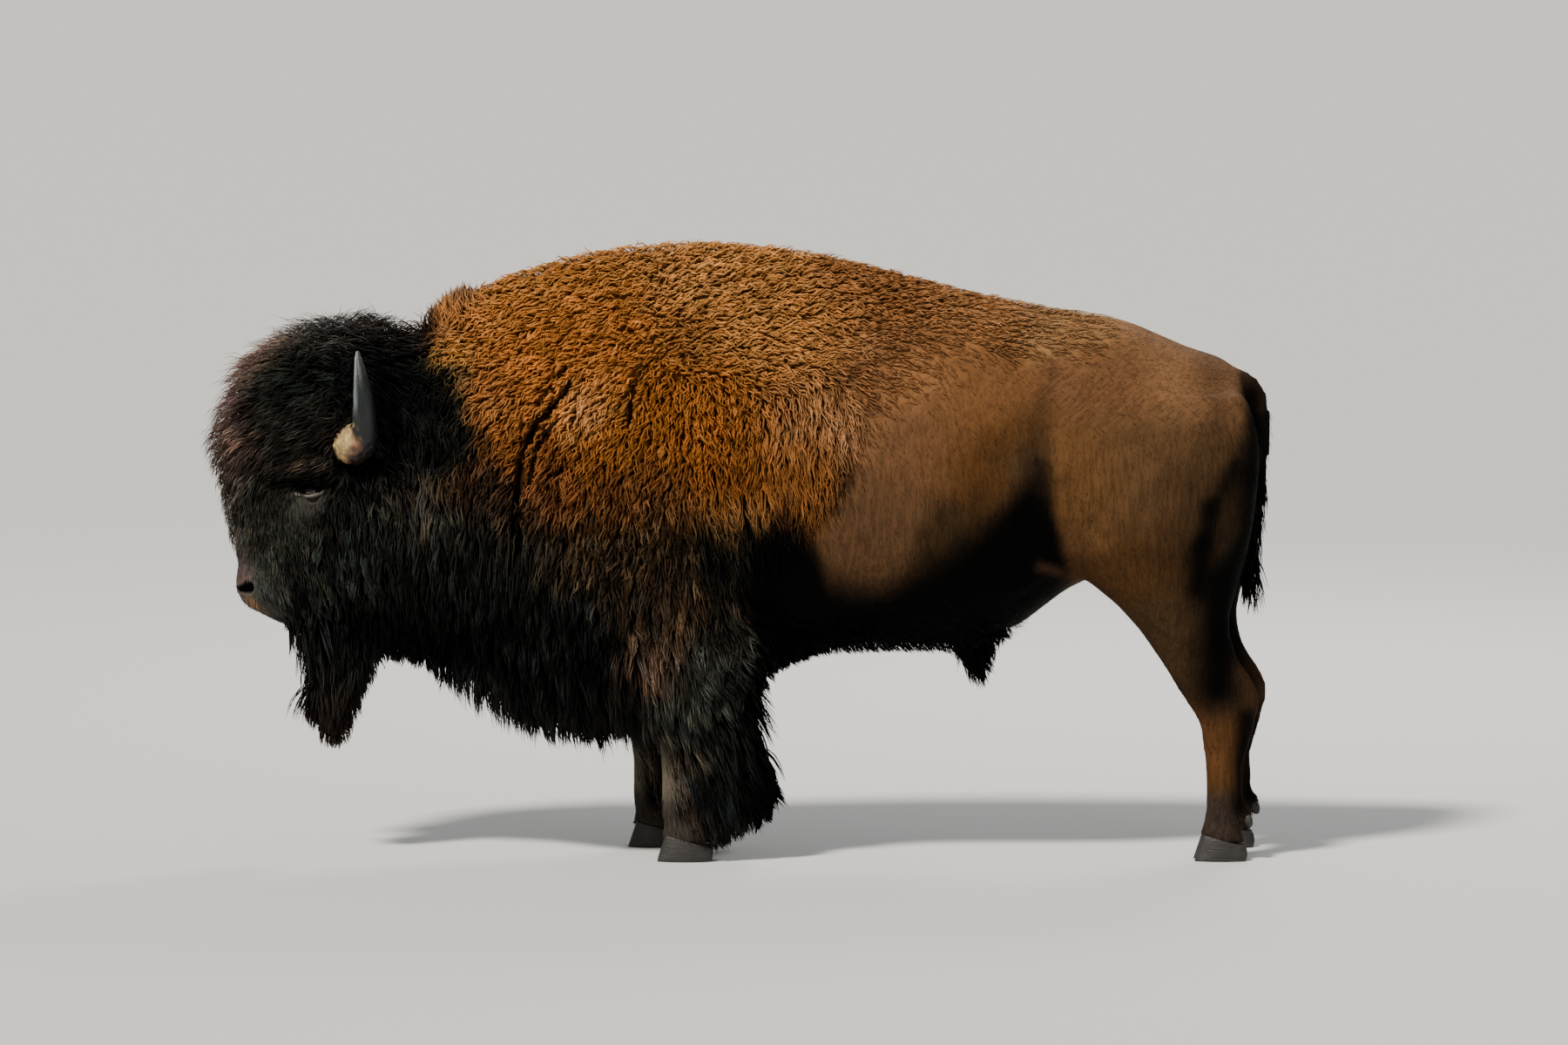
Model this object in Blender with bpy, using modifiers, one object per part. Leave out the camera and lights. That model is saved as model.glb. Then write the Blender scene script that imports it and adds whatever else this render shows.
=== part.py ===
"""A life-size bull American bison standing square in its summer coat, in metres, +Z up.

It faces -X with its left side towards -Y, and its origin is on the floor under the middle of the body.
The solids reach out to the tips of the hair. The flesh is lofted whole, fused and smoothed, and then
parted with thin cuts into head, neck, trunk and legs. Horns, eyes, ears, hooves, beard and tail are
pieces of their own that sit in sockets a hair's breadth wider than they are.
"""

import math

import bmesh
import bpy
from mathutils import Matrix, Vector

# Driving dimensions, in metres.
HUMP_HEIGHT = 1.80
FOREHEAD_X = -1.55
RUMP_X = 1.51
CHEST_HALF = 0.375
LOIN_HALF = 0.365
HEAD_HALF = 0.225
FORE_FOOT_X = -0.155
FORE_FOOT_Y = 0.165
HIND_FOOT_X = 1.395
HIND_FOOT_Y = 0.155
FAR_FORE_SHIFT = -0.090  # the right foreleg stands this much further forward
FAR_HIND_SHIFT = 0.040  # the right hind leg stands this much further back
EYE_RADIUS = 0.0205
EYE_AT = Vector((-1.247, -0.148, 1.074))

GAP = 0.0004  # between neighbouring solids
VOXEL = 0.015
FUSED_TRIANGLES = 3500
RING_SIDES = 36
LEFT, RIGHT = -1, 1  # the sign of y on each side

COAT_BROWN = ((0.19, 0.085, 0.035), 0.85)
CAPE_TAN = ((0.42, 0.19, 0.06), 0.9)
MANE_BLACK = ((0.028, 0.018, 0.014), 0.9)
HORN_GREY = ((0.09, 0.085, 0.085), 0.4)
HOOF_BLACK = ((0.03, 0.026, 0.024), 0.5)
EYE_DARK = ((0.02, 0.011, 0.006), 0.08)


# ---- helpers -----------------------------------------------------------------------------------


def start_clean():
    for obj in list(bpy.data.objects):
        bpy.data.objects.remove(obj)


def new_collection(name):
    made = bpy.data.collections.new(name)
    bpy.context.scene.collection.children.link(made)
    return made


def finish_of(name, look):
    """A plain Principled material of that colour and roughness, made once."""
    found = bpy.data.materials.get(name)
    if found:
        return found
    colour, roughness = look
    made = bpy.data.materials.new(name)
    made.use_nodes = True
    shader = made.node_tree.nodes["Principled BSDF"]
    shader.inputs["Base Color"].default_value = (*colour, 1)
    shader.inputs["Roughness"].default_value = roughness
    shader.inputs["Metallic"].default_value = 0
    return made


def through(*points):
    """A smooth function through (position, value) points that doesn't overshoot between them."""
    xs = [x for x, _ in points]
    ys = [y for _, y in points]
    slopes = [(ys[i + 1] - ys[i]) / (xs[i + 1] - xs[i]) for i in range(len(xs) - 1)]
    tangents = [slopes[0]]
    for before, after in zip(slopes, slopes[1:]):
        meet = before * after
        tangents.append(2 * meet / (before + after) if meet > 0 else 0.0)
    tangents.append(slopes[-1])

    def value(x):
        x = min(max(x, xs[0]), xs[-1])
        i = max(k for k in range(len(xs) - 1) if xs[k] <= x)
        span = xs[i + 1] - xs[i]
        t = (x - xs[i]) / span
        return (
            ys[i] * (1 + 2 * t) * (1 - t) ** 2
            + tangents[i] * span * t * (1 - t) ** 2
            + ys[i + 1] * t * t * (3 - 2 * t)
            + tangents[i + 1] * span * t * t * (t - 1)
        )

    return value


def steady(number):
    return lambda _: number


def link(mesh, name, collection):
    obj = bpy.data.objects.new(name, mesh)
    collection.objects.link(obj)
    return obj


def loft(name, axis, start, end, step, low, mid, high, half, low_power, high_power, centre, sides=RING_SIDES):
    """A closed skin over egg-shaped rings. Along X the rings stand up and run from low to high in z;
    along Z they lie flat and run from low to high in x. half is the half width in y about centre, and
    a power over 1 pinches that end of the ring, while one under 1 squares it."""
    count = max(2, round((end - start) / step))
    mesh = bmesh.new()
    rings = []
    for k in range(count + 1):
        at = start + (end - start) * k / count
        ring = []
        for j in range(sides):
            turn = 2 * math.pi * (j + 0.5) / sides
            c, s = math.cos(turn), math.sin(turn)
            reach = high(at) - mid(at) if s > 0 else mid(at) - low(at)
            power = high_power(at) if s > 0 else low_power(at)
            out = mid(at) + reach * s
            y = centre(at) + half(at) * math.copysign(abs(c) ** power, c)
            ring.append(mesh.verts.new((at, y, out) if axis == "X" else (out, y, at)))
        rings.append(ring)
    for here, there in zip(rings, rings[1:]):
        for j in range(sides):
            mesh.faces.new((here[j - 1], here[j], there[j], there[j - 1]))
    mesh.faces.new(rings[0])
    mesh.faces.new(rings[-1])
    bmesh.ops.recalc_face_normals(mesh, faces=mesh.faces)
    data = bpy.data.meshes.new(name)
    mesh.to_mesh(data)
    mesh.free()
    return data


def tapered(name, path, radii, grow=0.0, sides_level=3, steps=3):
    """A bent round shape: a curve through the points of path, as thick as radii says at each.
    With grow it is the room for that shape, wider and longer by that much all round."""
    path = [Vector(place) for place in path]
    path[0] += (path[0] - path[1]).normalized() * 2 * grow
    path[-1] += (path[-1] - path[-2]).normalized() * 2 * grow
    curve = bpy.data.curves.new(name, "CURVE")
    curve.dimensions = "3D"
    curve.bevel_depth = 1.0
    curve.bevel_resolution = sides_level
    curve.resolution_u = steps
    curve.use_fill_caps = True
    spline = curve.splines.new("BEZIER")
    spline.bezier_points.add(len(path) - 1)
    for point, place, radius in zip(spline.bezier_points, path, radii):
        point.co = place
        point.radius = radius + grow
        point.handle_left_type = point.handle_right_type = "AUTO"
    holder = bpy.data.objects.new(name + "_line", curve)
    bpy.context.scene.collection.objects.link(holder)
    bpy.context.view_layer.update()
    graph = bpy.context.evaluated_depsgraph_get()
    data = bpy.data.meshes.new_from_object(holder.evaluated_get(graph))
    bpy.data.objects.remove(holder)
    mesh = bmesh.new()
    mesh.from_mesh(data)
    bmesh.ops.remove_doubles(mesh, verts=mesh.verts, dist=1e-5)
    bmesh.ops.recalc_face_normals(mesh, faces=mesh.faces)
    mesh.to_mesh(data)
    mesh.free()
    data.name = name
    return data


def ball(name, place, radii, columns=12, rows=8):
    mesh = bmesh.new()
    bmesh.ops.create_uvsphere(mesh, u_segments=columns, v_segments=rows, radius=1.0)
    size = Matrix.Diagonal((*radii, 1.0))
    bmesh.ops.transform(mesh, matrix=Matrix.Translation(place) @ size, verts=mesh.verts)
    data = bpy.data.meshes.new(name)
    mesh.to_mesh(data)
    mesh.free()
    return data


def box_between(name, low, high, lean=0.0, pivot=(0, 0, 0)):
    """A block from corner low to corner high, then leaned about the Y axis through pivot."""
    mesh = bmesh.new()
    bmesh.ops.create_cube(mesh, size=1.0)
    low, high = Vector(low), Vector(high)
    size = Matrix.Diagonal((*(high - low), 1.0))
    turn = (
        Matrix.Translation(pivot) @ Matrix.Rotation(lean, 4, "Y") @ Matrix.Translation(-Vector(pivot))
    )
    bmesh.ops.transform(
        mesh, matrix=turn @ Matrix.Translation((low + high) / 2) @ size, verts=mesh.verts
    )
    data = bpy.data.meshes.new(name)
    mesh.to_mesh(data)
    mesh.free()
    return data


def joined(name, meshes):
    whole = bmesh.new()
    for data in meshes:
        whole.from_mesh(data)
    made = bpy.data.meshes.new(name)
    whole.to_mesh(made)
    whole.free()
    return made


def mirrored(data, name):
    """The same shape on the other side of the animal."""
    mesh = bmesh.new()
    mesh.from_mesh(data)
    bmesh.ops.scale(mesh, vec=(1, -1, 1), verts=mesh.verts)
    bmesh.ops.reverse_faces(mesh, faces=mesh.faces)
    made = bpy.data.meshes.new(name)
    mesh.to_mesh(made)
    mesh.free()
    return made


def shifted(data, name, x):
    made = data.copy()
    made.name = name
    made.transform(Matrix.Translation((x, 0, 0)))
    return made


def evaluated(obj, name):
    """The object's mesh with its modifiers applied."""
    bpy.context.view_layer.update()
    graph = bpy.context.evaluated_depsgraph_get()
    data = bpy.data.meshes.new_from_object(obj.evaluated_get(graph))
    data.name = name
    return data


def combine(data, name, cutters, operation):
    """data cut by, or kept within, each of the cutters in turn."""
    obj = link(data.copy(), name, PARTS)
    for cutter in cutters:
        helper = link(cutter, cutter.name + "_cutter", CUTTERS)
        helper.hide_render = True
        helper.display_type = "WIRE"
        modifier = obj.modifiers.new(helper.name, "BOOLEAN")
        modifier.operation = operation
        modifier.object = helper
    result = evaluated(obj, name)
    bpy.data.objects.remove(obj)
    return result


def less(data, *cutters):
    return combine(data, data.name, cutters, "DIFFERENCE")


def within(data, name, *regions):
    return combine(data, name, regions, "INTERSECT")


def fused(data, voxel, smoothing, triangles):
    """Overlapping shapes made one soft skin of about that many triangles."""
    obj = link(data, data.name, PARTS)
    remesh = obj.modifiers.new("fuse", "REMESH")
    remesh.mode = "VOXEL"
    remesh.voxel_size = voxel
    smooth = obj.modifiers.new("soften", "SMOOTH")
    smooth.factor = 0.5
    smooth.iterations = smoothing
    dense = evaluated(obj, data.name)
    bpy.data.objects.remove(obj)
    obj = link(dense, data.name, PARTS)
    thin = obj.modifiers.new("thin", "DECIMATE")
    thin.ratio = triangles / (2 * len(dense.polygons))
    made = evaluated(obj, data.name)
    bpy.data.objects.remove(obj)
    return made


def piece(data, name, look_name, look):
    obj = link(data, name, PARTS)
    data.materials.clear()
    data.materials.append(finish_of(look_name, look))
    data.shade_smooth()
    return obj


# ---- the flesh and coat, as lofts --------------------------------------------------------------


def trunk_loft():
    """Chest, hump, barrel and rump as rings that stand across the body."""
    back = through(
        (-0.98, 1.50), (-0.80, 1.645), (-0.60, 1.735), (-0.34, 1.787), (-0.13, HUMP_HEIGHT + 0.004),
        (0.07, 1.790), (0.28, 1.750), (0.48, 1.703), (0.68, 1.645), (0.89, 1.592), (1.09, 1.562),
        (1.29, 1.480), (1.42, 1.436), (1.475, 1.36), (RUMP_X - 0.005, 1.25),
    )
    belly = through(
        (-0.98, 0.60), (-0.84, 0.535), (-0.74, 0.47), (-0.60, 0.395), (-0.48, 0.365), (-0.36, 0.40),
        (-0.15, 0.48), (0.07, 0.54), (0.26, 0.602), (0.66, 0.606), (0.78, 0.650), (0.99, 0.795),
        (1.20, 0.86), (1.40, 0.96), (1.475, 1.08), (RUMP_X - 0.005, 1.17),
    )
    widest = through((-0.98, 1.0), (-0.5, 0.94), (0.0, 0.98), (0.7, 1.04), (1.2, 1.16), (1.5, 1.21))
    half = through(
        (-0.98, 0.20), (-0.80, 0.285), (-0.55, 0.345), (-0.25, CHEST_HALF), (0.10, 0.362),
        (0.45, LOIN_HALF), (0.70, 0.36), (0.95, 0.315), (1.15, 0.285), (1.32, 0.245), (1.44, 0.16),
        (RUMP_X - 0.005, 0.05),
    )
    pinch = through((-0.98, 1.2), (-0.5, 1.36), (0.1, 1.32), (0.6, 1.12), (1.1, 0.95), (1.5, 0.9))
    keel = through((-0.98, 1.3), (-0.5, 1.2), (0.1, 1.0), (0.6, 0.95), (1.5, 1.0))
    return loft("trunk", "X", -0.98, RUMP_X - 0.005, 0.05, belly, widest, back, half, keel, pinch, steady(0))


def neck_loft():
    """The neck under its mane, from behind the ears back into the chest."""
    nape = through((-1.16, 1.40), (-1.05, 1.50), (-0.95, 1.548), (-0.80, 1.63), (-0.60, 1.70))
    throat = through((-1.16, 0.66), (-1.05, 0.555), (-0.95, 0.540), (-0.84, 0.530), (-0.70, 0.47), (-0.60, 0.43))
    widest = through((-1.16, 0.98), (-0.6, 0.95))
    half = through((-1.16, 0.17), (-1.00, 0.235), (-0.80, 0.285), (-0.60, 0.32))
    return loft(
        "neck", "X", -1.16, -0.60, 0.05, throat, widest, nape, half, steady(1.15), steady(1.15), steady(0)
    )


def head_loft():
    """The skull, jaw and hair of the head as rings that lie flat, from the chin up to the bonnet."""
    face = through(
        (0.655, -1.315), (0.69, -1.385), (0.72, -1.448), (0.75, -1.478), (0.79, -1.488), (0.83, -1.480),
        (0.92, -1.498), (1.02, -1.512), (1.09, -1.524), (1.15, FOREHEAD_X), (1.23, -1.543),
        (1.33, -1.518), (1.42, -1.486), (1.49, -1.405), (1.55, -1.305), (1.578, -1.20),
    )
    back = through(
        (0.655, -1.16), (0.75, -1.05), (0.9, -0.98), (1.1, -0.93), (1.35, -0.92), (1.50, -0.94),
        (1.55, -0.99), (1.578, -1.07),
    )
    widest = through((0.655, -1.24), (0.80, -1.20), (1.0, -1.15), (1.2, -1.15), (1.578, -1.13))
    half = through(
        (0.655, 0.060), (0.70, 0.088), (0.76, 0.118), (0.85, 0.142), (0.97, 0.165), (1.08, 0.185),
        (1.18, 0.212), (1.30, HEAD_HALF), (1.42, 0.205), (1.50, 0.165), (1.55, 0.11), (1.578, 0.05),
    )
    blunt = through((0.655, 0.8), (0.80, 0.70), (0.95, 0.80), (1.10, 0.85), (1.578, 0.9))
    return loft("head", "Z", 0.655, 1.578, 0.035, face, widest, back, half, blunt, steady(0.9), steady(0))


def foreleg_loft():
    """The left foreleg in its long chaps of hair, from inside the shoulder down to the hoof."""
    front = through(
        (0.02, -0.232), (0.075, -0.226), (0.12, -0.237), (0.22, -0.236), (0.34, -0.244), (0.375, -0.275),
        (0.43, -0.313), (0.50, -0.316), (0.60, -0.300), (0.75, -0.330), (1.05, -0.36),
    )
    rear = through(
        (0.02, -0.075), (0.06, -0.01), (0.09, 0.045), (0.13, 0.092), (0.19, 0.112), (0.27, 0.098),
        (0.36, 0.072), (0.45, 0.052), (0.50, 0.070), (0.58, 0.106), (0.66, 0.114), (0.74, 0.085),
        (1.05, 0.03),
    )
    thick = through((0.02, -0.155), (0.35, -0.160), (0.60, -0.140), (1.05, -0.16))
    half = through(
        (0.02, 0.058), (0.10, 0.062), (0.22, 0.058), (0.32, 0.068), (0.42, 0.098), (0.55, 0.116),
        (0.75, 0.130), (1.05, 0.14),
    )
    lean = through((0.0, -FORE_FOOT_Y), (0.45, -0.175), (0.75, -0.205), (1.05, -0.215))
    trail = through((0.02, 1.0), (0.15, 1.35), (0.40, 1.2), (0.60, 1.0), (1.05, 0.9))
    return loft("foreleg", "Z", 0.02, 1.05, 0.03, front, thick, rear, half, steady(0.9), trail, lean, 24)


def hind_leg_loft():
    """The left hind leg, from the hip past the stifle and hock down to the hoof."""
    front = through(
        (0.02, 1.318), (0.075, 1.326), (0.12, 1.338), (0.18, 1.350), (0.27, 1.349), (0.34, 1.341),
        (0.40, 1.322), (0.46, 1.280), (0.53, 1.237), (0.60, 1.196), (0.70, 1.122), (0.76, 1.060),
        (0.82, 0.985), (0.90, 0.930), (1.05, 0.895), (1.20, 0.93), (1.36, 1.05),
    )
    rear = through(
        (0.02, 1.462), (0.075, 1.468), (0.12, 1.466), (0.18, 1.453), (0.27, 1.452), (0.34, 1.470),
        (0.40, 1.498), (0.46, 1.517), (0.50, 1.508), (0.55, 1.476), (0.61, 1.440), (0.69, 1.422),
        (0.77, 1.437), (0.90, 1.475), (1.05, 1.500), (1.20, RUMP_X), (1.36, 1.46),
    )
    thick = through((0.02, 1.395), (0.27, 1.398), (0.46, 1.405), (0.60, 1.31), (0.80, 1.24), (1.36, 1.22))
    half = through(
        (0.02, 0.054), (0.12, 0.054), (0.18, 0.045), (0.27, 0.042), (0.36, 0.048), (0.46, 0.055),
        (0.56, 0.060), (0.68, 0.082), (0.80, 0.108), (0.95, 0.130), (1.10, 0.138), (1.36, 0.10),
    )
    lean = through((0.02, -HIND_FOOT_Y), (0.46, -0.150), (0.75, -0.160), (1.10, -0.165), (1.36, -0.15))
    return loft(
        "hind_leg", "Z", 0.02, 1.36, 0.03, front, thick, rear, half, steady(0.95), steady(1.0), lean, 28
    )


def limbs():
    """The four legs: each right one is the left one mirrored and set forward or back."""
    fore, hind = foreleg_loft(), hind_leg_loft()
    return [
        fore,
        shifted(mirrored(fore, "foreleg_far"), "foreleg_right", FAR_FORE_SHIFT),
        hind,
        shifted(mirrored(hind, "hind_leg_far"), "hind_leg_right", FAR_HIND_SHIFT),
    ]


# ---- horns, eyes, ears, hooves, beard, tail ----------------------------------------------------

HORN_PATH = [
    (-1.135, -0.125, 1.205), (-1.122, -0.195, 1.188), (-1.103, -0.258, 1.212), (-1.100, -0.288, 1.285),
    (-1.107, -0.285, 1.375), (-1.120, -0.262, 1.466),
]
HORN_RADII = [0.055, 0.056, 0.050, 0.036, 0.022, 0.003]
EAR_PATH = [
    (-1.075, -0.165, 1.135), (-1.045, -0.200, 1.122), (-1.010, -0.232, 1.106), (-0.978, -0.250, 1.088),
]
EAR_RADII = [0.026, 0.038, 0.034, 0.008]
TAIL_PATH = [
    (1.425, 0, 1.395), (1.490, 0, 1.372), (1.523, 0, 1.310), (1.533, 0, 1.225), (1.529, 0, 1.120),
    (1.515, 0, 1.020), (1.500, 0, 0.925),
]
TAIL_RADII = [0.036, 0.030, 0.024, 0.019, 0.017, 0.015, 0.014]




def beard_loft():
    """The beard, from the chin down to its tip."""
    front = through(
        (0.335, -1.205), (0.36, -1.240), (0.40, -1.283), (0.46, -1.296), (0.60, -1.294), (0.72, -1.31)
    )
    rear = through((0.335, -1.165), (0.36, -1.145), (0.43, -1.125), (0.50, -1.085), (0.60, -1.05), (0.72, -1.05))
    middle = through((0.335, -1.185), (0.45, -1.21), (0.72, -1.18))
    half = through((0.335, 0.012), (0.38, 0.034), (0.48, 0.052), (0.60, 0.066), (0.72, 0.070))
    return loft(
        "beard", "Z", 0.335, 0.72, 0.035, front, middle, rear, half, steady(1), steady(1), steady(0), 20
    )


def sheath_loft():
    """The tufted sheath under the belly."""
    front = through((0.475, 0.680), (0.53, 0.655), (0.60, 0.625), (0.68, 0.58))
    rear = through((0.475, 0.700), (0.53, 0.722), (0.585, 0.730), (0.68, 0.80))
    middle = through((0.475, 0.690), (0.68, 0.69))
    half = through((0.475, 0.012), (0.53, 0.030), (0.68, 0.055))
    return loft(
        "sheath", "Z", 0.475, 0.68, 0.03, front, middle, rear, half, steady(1), steady(1), steady(0), 16
    )


def tassel_loft():
    """The brush of long hair at the tail's end."""
    front = through((0.700, 1.500), (0.74, 1.468), (0.80, 1.458), (0.87, 1.470), (TAIL_END, 1.486))
    rear = through((0.700, 1.536), (0.76, 1.531), (0.84, 1.518), (TAIL_END, 1.514))
    middle = through((0.700, 1.52), (TAIL_END, 1.500))
    half = through((0.700, 0.010), (0.76, 0.030), (0.85, 0.030), (TAIL_END, 0.014))
    top = TAIL_END - GAP
    return loft(
        "tassel", "Z", 0.700, top, 0.04, front, middle, rear, half, steady(1), steady(1), steady(0), 12
    )


TAIL_END = 0.925
HOOF_HEIGHT = 0.078
HOOF_SLOPE = 0.27  # how fast the coronet drops towards the heel
TOE_OFFSET = 0.031  # from the middle of the foot to the middle of each toe
DEWCLAW_Z = 0.118


def toe(name, front_x, length, foot_y, side):
    """One of the two toes of a cloven hoof: flat below, sloping in front and lower at the heel."""
    front = through((0, front_x), (HOOF_HEIGHT, front_x + 0.026))
    rear = through((0, front_x + length), (0.03, front_x + length + 0.004), (HOOF_HEIGHT, front_x + length - 0.004))
    half = through((0, 0.0295), (0.03, 0.030), (HOOF_HEIGHT, 0.0265))
    middle = steady(front_x + 0.60 * length)
    centre = steady(foot_y + side * TOE_OFFSET)
    data = loft(
        name, "Z", 0, HOOF_HEIGHT, 0.039, front, middle, rear, half, steady(1.1), steady(0.8), centre, 12
    )
    for vertex in data.vertices:
        share = vertex.co.z / HOOF_HEIGHT
        vertex.co.z -= share * HOOF_SLOPE * (vertex.co.x - front_x - 0.026)
    return data


def dewclaws(foot, kind, grow):
    """The two small claws behind a hind fetlock, or the hollows that they sit in."""
    front_x, length, foot_y = FEET[foot]
    return [
        ball(
            f"{kind}_{foot}_{claw}",
            (front_x + length + 0.004, foot_y + side * 0.024, DEWCLAW_Z),
            (0.017 + grow, 0.014 + grow, 0.021 + grow),
            8,
            6,
        )
        for side, claw in ((LEFT, "a"), (RIGHT, "b"))
    ]


def above_hoof(name, front_x, foot_y):
    """The block that trims a leg off level with the top of its hoof."""
    pivot = (front_x + 0.026, foot_y, HOOF_HEIGHT + GAP)
    low = (pivot[0] - 0.12, foot_y - 0.12, -0.2)
    high = (pivot[0] + 0.30, foot_y + 0.12, pivot[2])
    return box_between(name, low, high, math.atan(HOOF_SLOPE), pivot)


FEET = {
    "fore_left": (FORE_FOOT_X - 0.095, 0.160, LEFT * FORE_FOOT_Y),
    "fore_right": (FORE_FOOT_X - 0.095 + FAR_FORE_SHIFT, 0.160, RIGHT * FORE_FOOT_Y),
    "hind_left": (HIND_FOOT_X - 0.083, 0.152, LEFT * HIND_FOOT_Y),
    "hind_right": (HIND_FOOT_X - 0.083 + FAR_HIND_SHIFT, 0.152, RIGHT * HIND_FOOT_Y),
}


# ---- where the body is parted ------------------------------------------------------------------

FAR = 2.0  # past the body on every side
NECK_LEAN = math.radians(7.0)
HEAD_CUT = (-1.010, 0, 1.04)
SHOULDER_X = -0.75
BARREL_X = 0.22
HIP_X = 0.90
THIGH_LEAN = math.radians(-11.0)
THIGH_CUT = (0.95, 0, 0.79)
CHIN_Z = 0.640
SHEATH_Z = 0.590


def head_side(name, gap):
    return box_between(name, (-FAR, -FAR, -FAR), (HEAD_CUT[0] - gap, FAR, FAR), NECK_LEAN, HEAD_CUT)


def span(name, start, end):
    return box_between(name, (start, -FAR, -FAR), (end, FAR, FAR))


def foreleg_box(name, side, grow):
    shift = FAR_FORE_SHIFT if side == RIGHT else 0
    ys = sorted((side * (0.05 - grow), side * FAR))
    return box_between(name, (-0.43 + shift - grow, ys[0], -FAR), (0.17 + shift + grow, ys[1], 0.61 + grow))


def hind_leg_box(name, side, grow):
    shift = FAR_HIND_SHIFT if side == RIGHT else 0
    ys = sorted((side * (0.05 - grow), side * FAR))
    pivot = (THIGH_CUT[0] + shift, 0, THIGH_CUT[2])
    low = (pivot[0] - grow, ys[0], -FAR)
    return box_between(name, low, (FAR + 1, ys[1], 1.12 + grow), THIGH_LEAN, pivot)


def make_flesh(horns, ears, eyes, tail):
    """The fused body, parted into its nodes."""
    lofts = [trunk_loft(), neck_loft(), head_loft(), beard_loft(), sheath_loft(), *limbs()]
    body = fused(joined("body", lofts), VOXEL, 6, FUSED_TRIANGLES)

    head = within(body, "head", head_side("head_side", GAP / 2))
    chin_up = box_between("chin_up", (-FAR, -FAR, CHIN_Z + GAP), (FAR, FAR, FAR))
    chin_down = box_between("chin_down", (-FAR, -FAR, -FAR), (FAR, FAR, CHIN_Z))
    piece(within(head, "beard", chin_down), "beard", "mane", MANE_BLACK)
    head = within(head, "head", chin_up)
    hollows = [
        ball("orbit", (EYE_AT.x - 0.006, side * 0.192, EYE_AT.z), (0.040, 0.034, 0.024), 10, 6)
        for side in (LEFT, RIGHT)
    ]
    nostrils = [
        ball("nostril", (-1.462, side * 0.066, 0.778), (0.020, 0.026, 0.015), 8, 6) for side in (LEFT, RIGHT)
    ]
    head = less(head, *horns, *[ear.copy() for ear in ears], *hollows, *eyes, *nostrils)
    piece(head, "head", "mane", MANE_BLACK)

    behind_head = less(body, head_side("before_neck", -GAP / 2))
    neck = within(behind_head, "neck", span("neck_span", -FAR, SHOULDER_X - GAP / 2))
    piece(less(neck, *ears), "neck", "mane", MANE_BLACK)

    holes = [foreleg_box("foreleg_hole", side, GAP) for side in (LEFT, RIGHT)]
    fore = within(body, "forequarters", span("fore_span", SHOULDER_X + GAP / 2, BARREL_X - GAP / 2))
    piece(less(fore, *holes), "forequarters", "cape", CAPE_TAN)

    holes = [hind_leg_box("thigh_hole", side, GAP) for side in (LEFT, RIGHT)]
    barrel = within(body, "barrel", span("barrel_span", BARREL_X + GAP / 2, HIP_X - GAP / 2))
    below = box_between("below", (0.55, -0.1, 0.3), (0.80, 0.1, SHEATH_Z))
    piece(within(barrel, "sheath", below.copy()), "sheath", "mane", MANE_BLACK)
    above = box_between("below_grown", (0.55, -0.1, 0.3), (0.80, 0.1, SHEATH_Z + GAP))
    piece(less(barrel, *holes, above), "barrel", "coat", COAT_BROWN)

    hind = within(body, "hindquarters", span("hind_span", HIP_X + GAP / 2, FAR))
    piece(less(hind, *holes, tail), "hindquarters", "coat", COAT_BROWN)

    for side, side_name in ((LEFT, "left"), (RIGHT, "right")):
        for kind, region, look in (
            ("fore", foreleg_box("leg_region", side, 0), ("mane", MANE_BLACK)),
            ("hind", hind_leg_box("leg_region", side, 0), ("coat", COAT_BROWN)),
        ):
            name = f"{kind}_leg_{side_name}"
            front_x, _, foot_y = FEET[f"{kind}_{side_name}"]
            leg = within(body, name, region)
            trims = [above_hoof("hoof_top", front_x, foot_y)]
            if kind == "hind":
                trims += dewclaws(f"hind_{side_name}", "claw_room", GAP)
                for claw in dewclaws(f"hind_{side_name}", "dewclaw", 0):
                    piece(claw, claw.name, "hoof", HOOF_BLACK)
            piece(less(leg, *trims), name, *look)


def make_hooves():
    for foot, (front_x, length, foot_y) in FEET.items():
        for side, toe_name in ((LEFT, "a"), (RIGHT, "b")):
            name = f"hoof_{foot}_{toe_name}"
            piece(toe(name, front_x, length, foot_y, side), name, "hoof", HOOF_BLACK)


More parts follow.
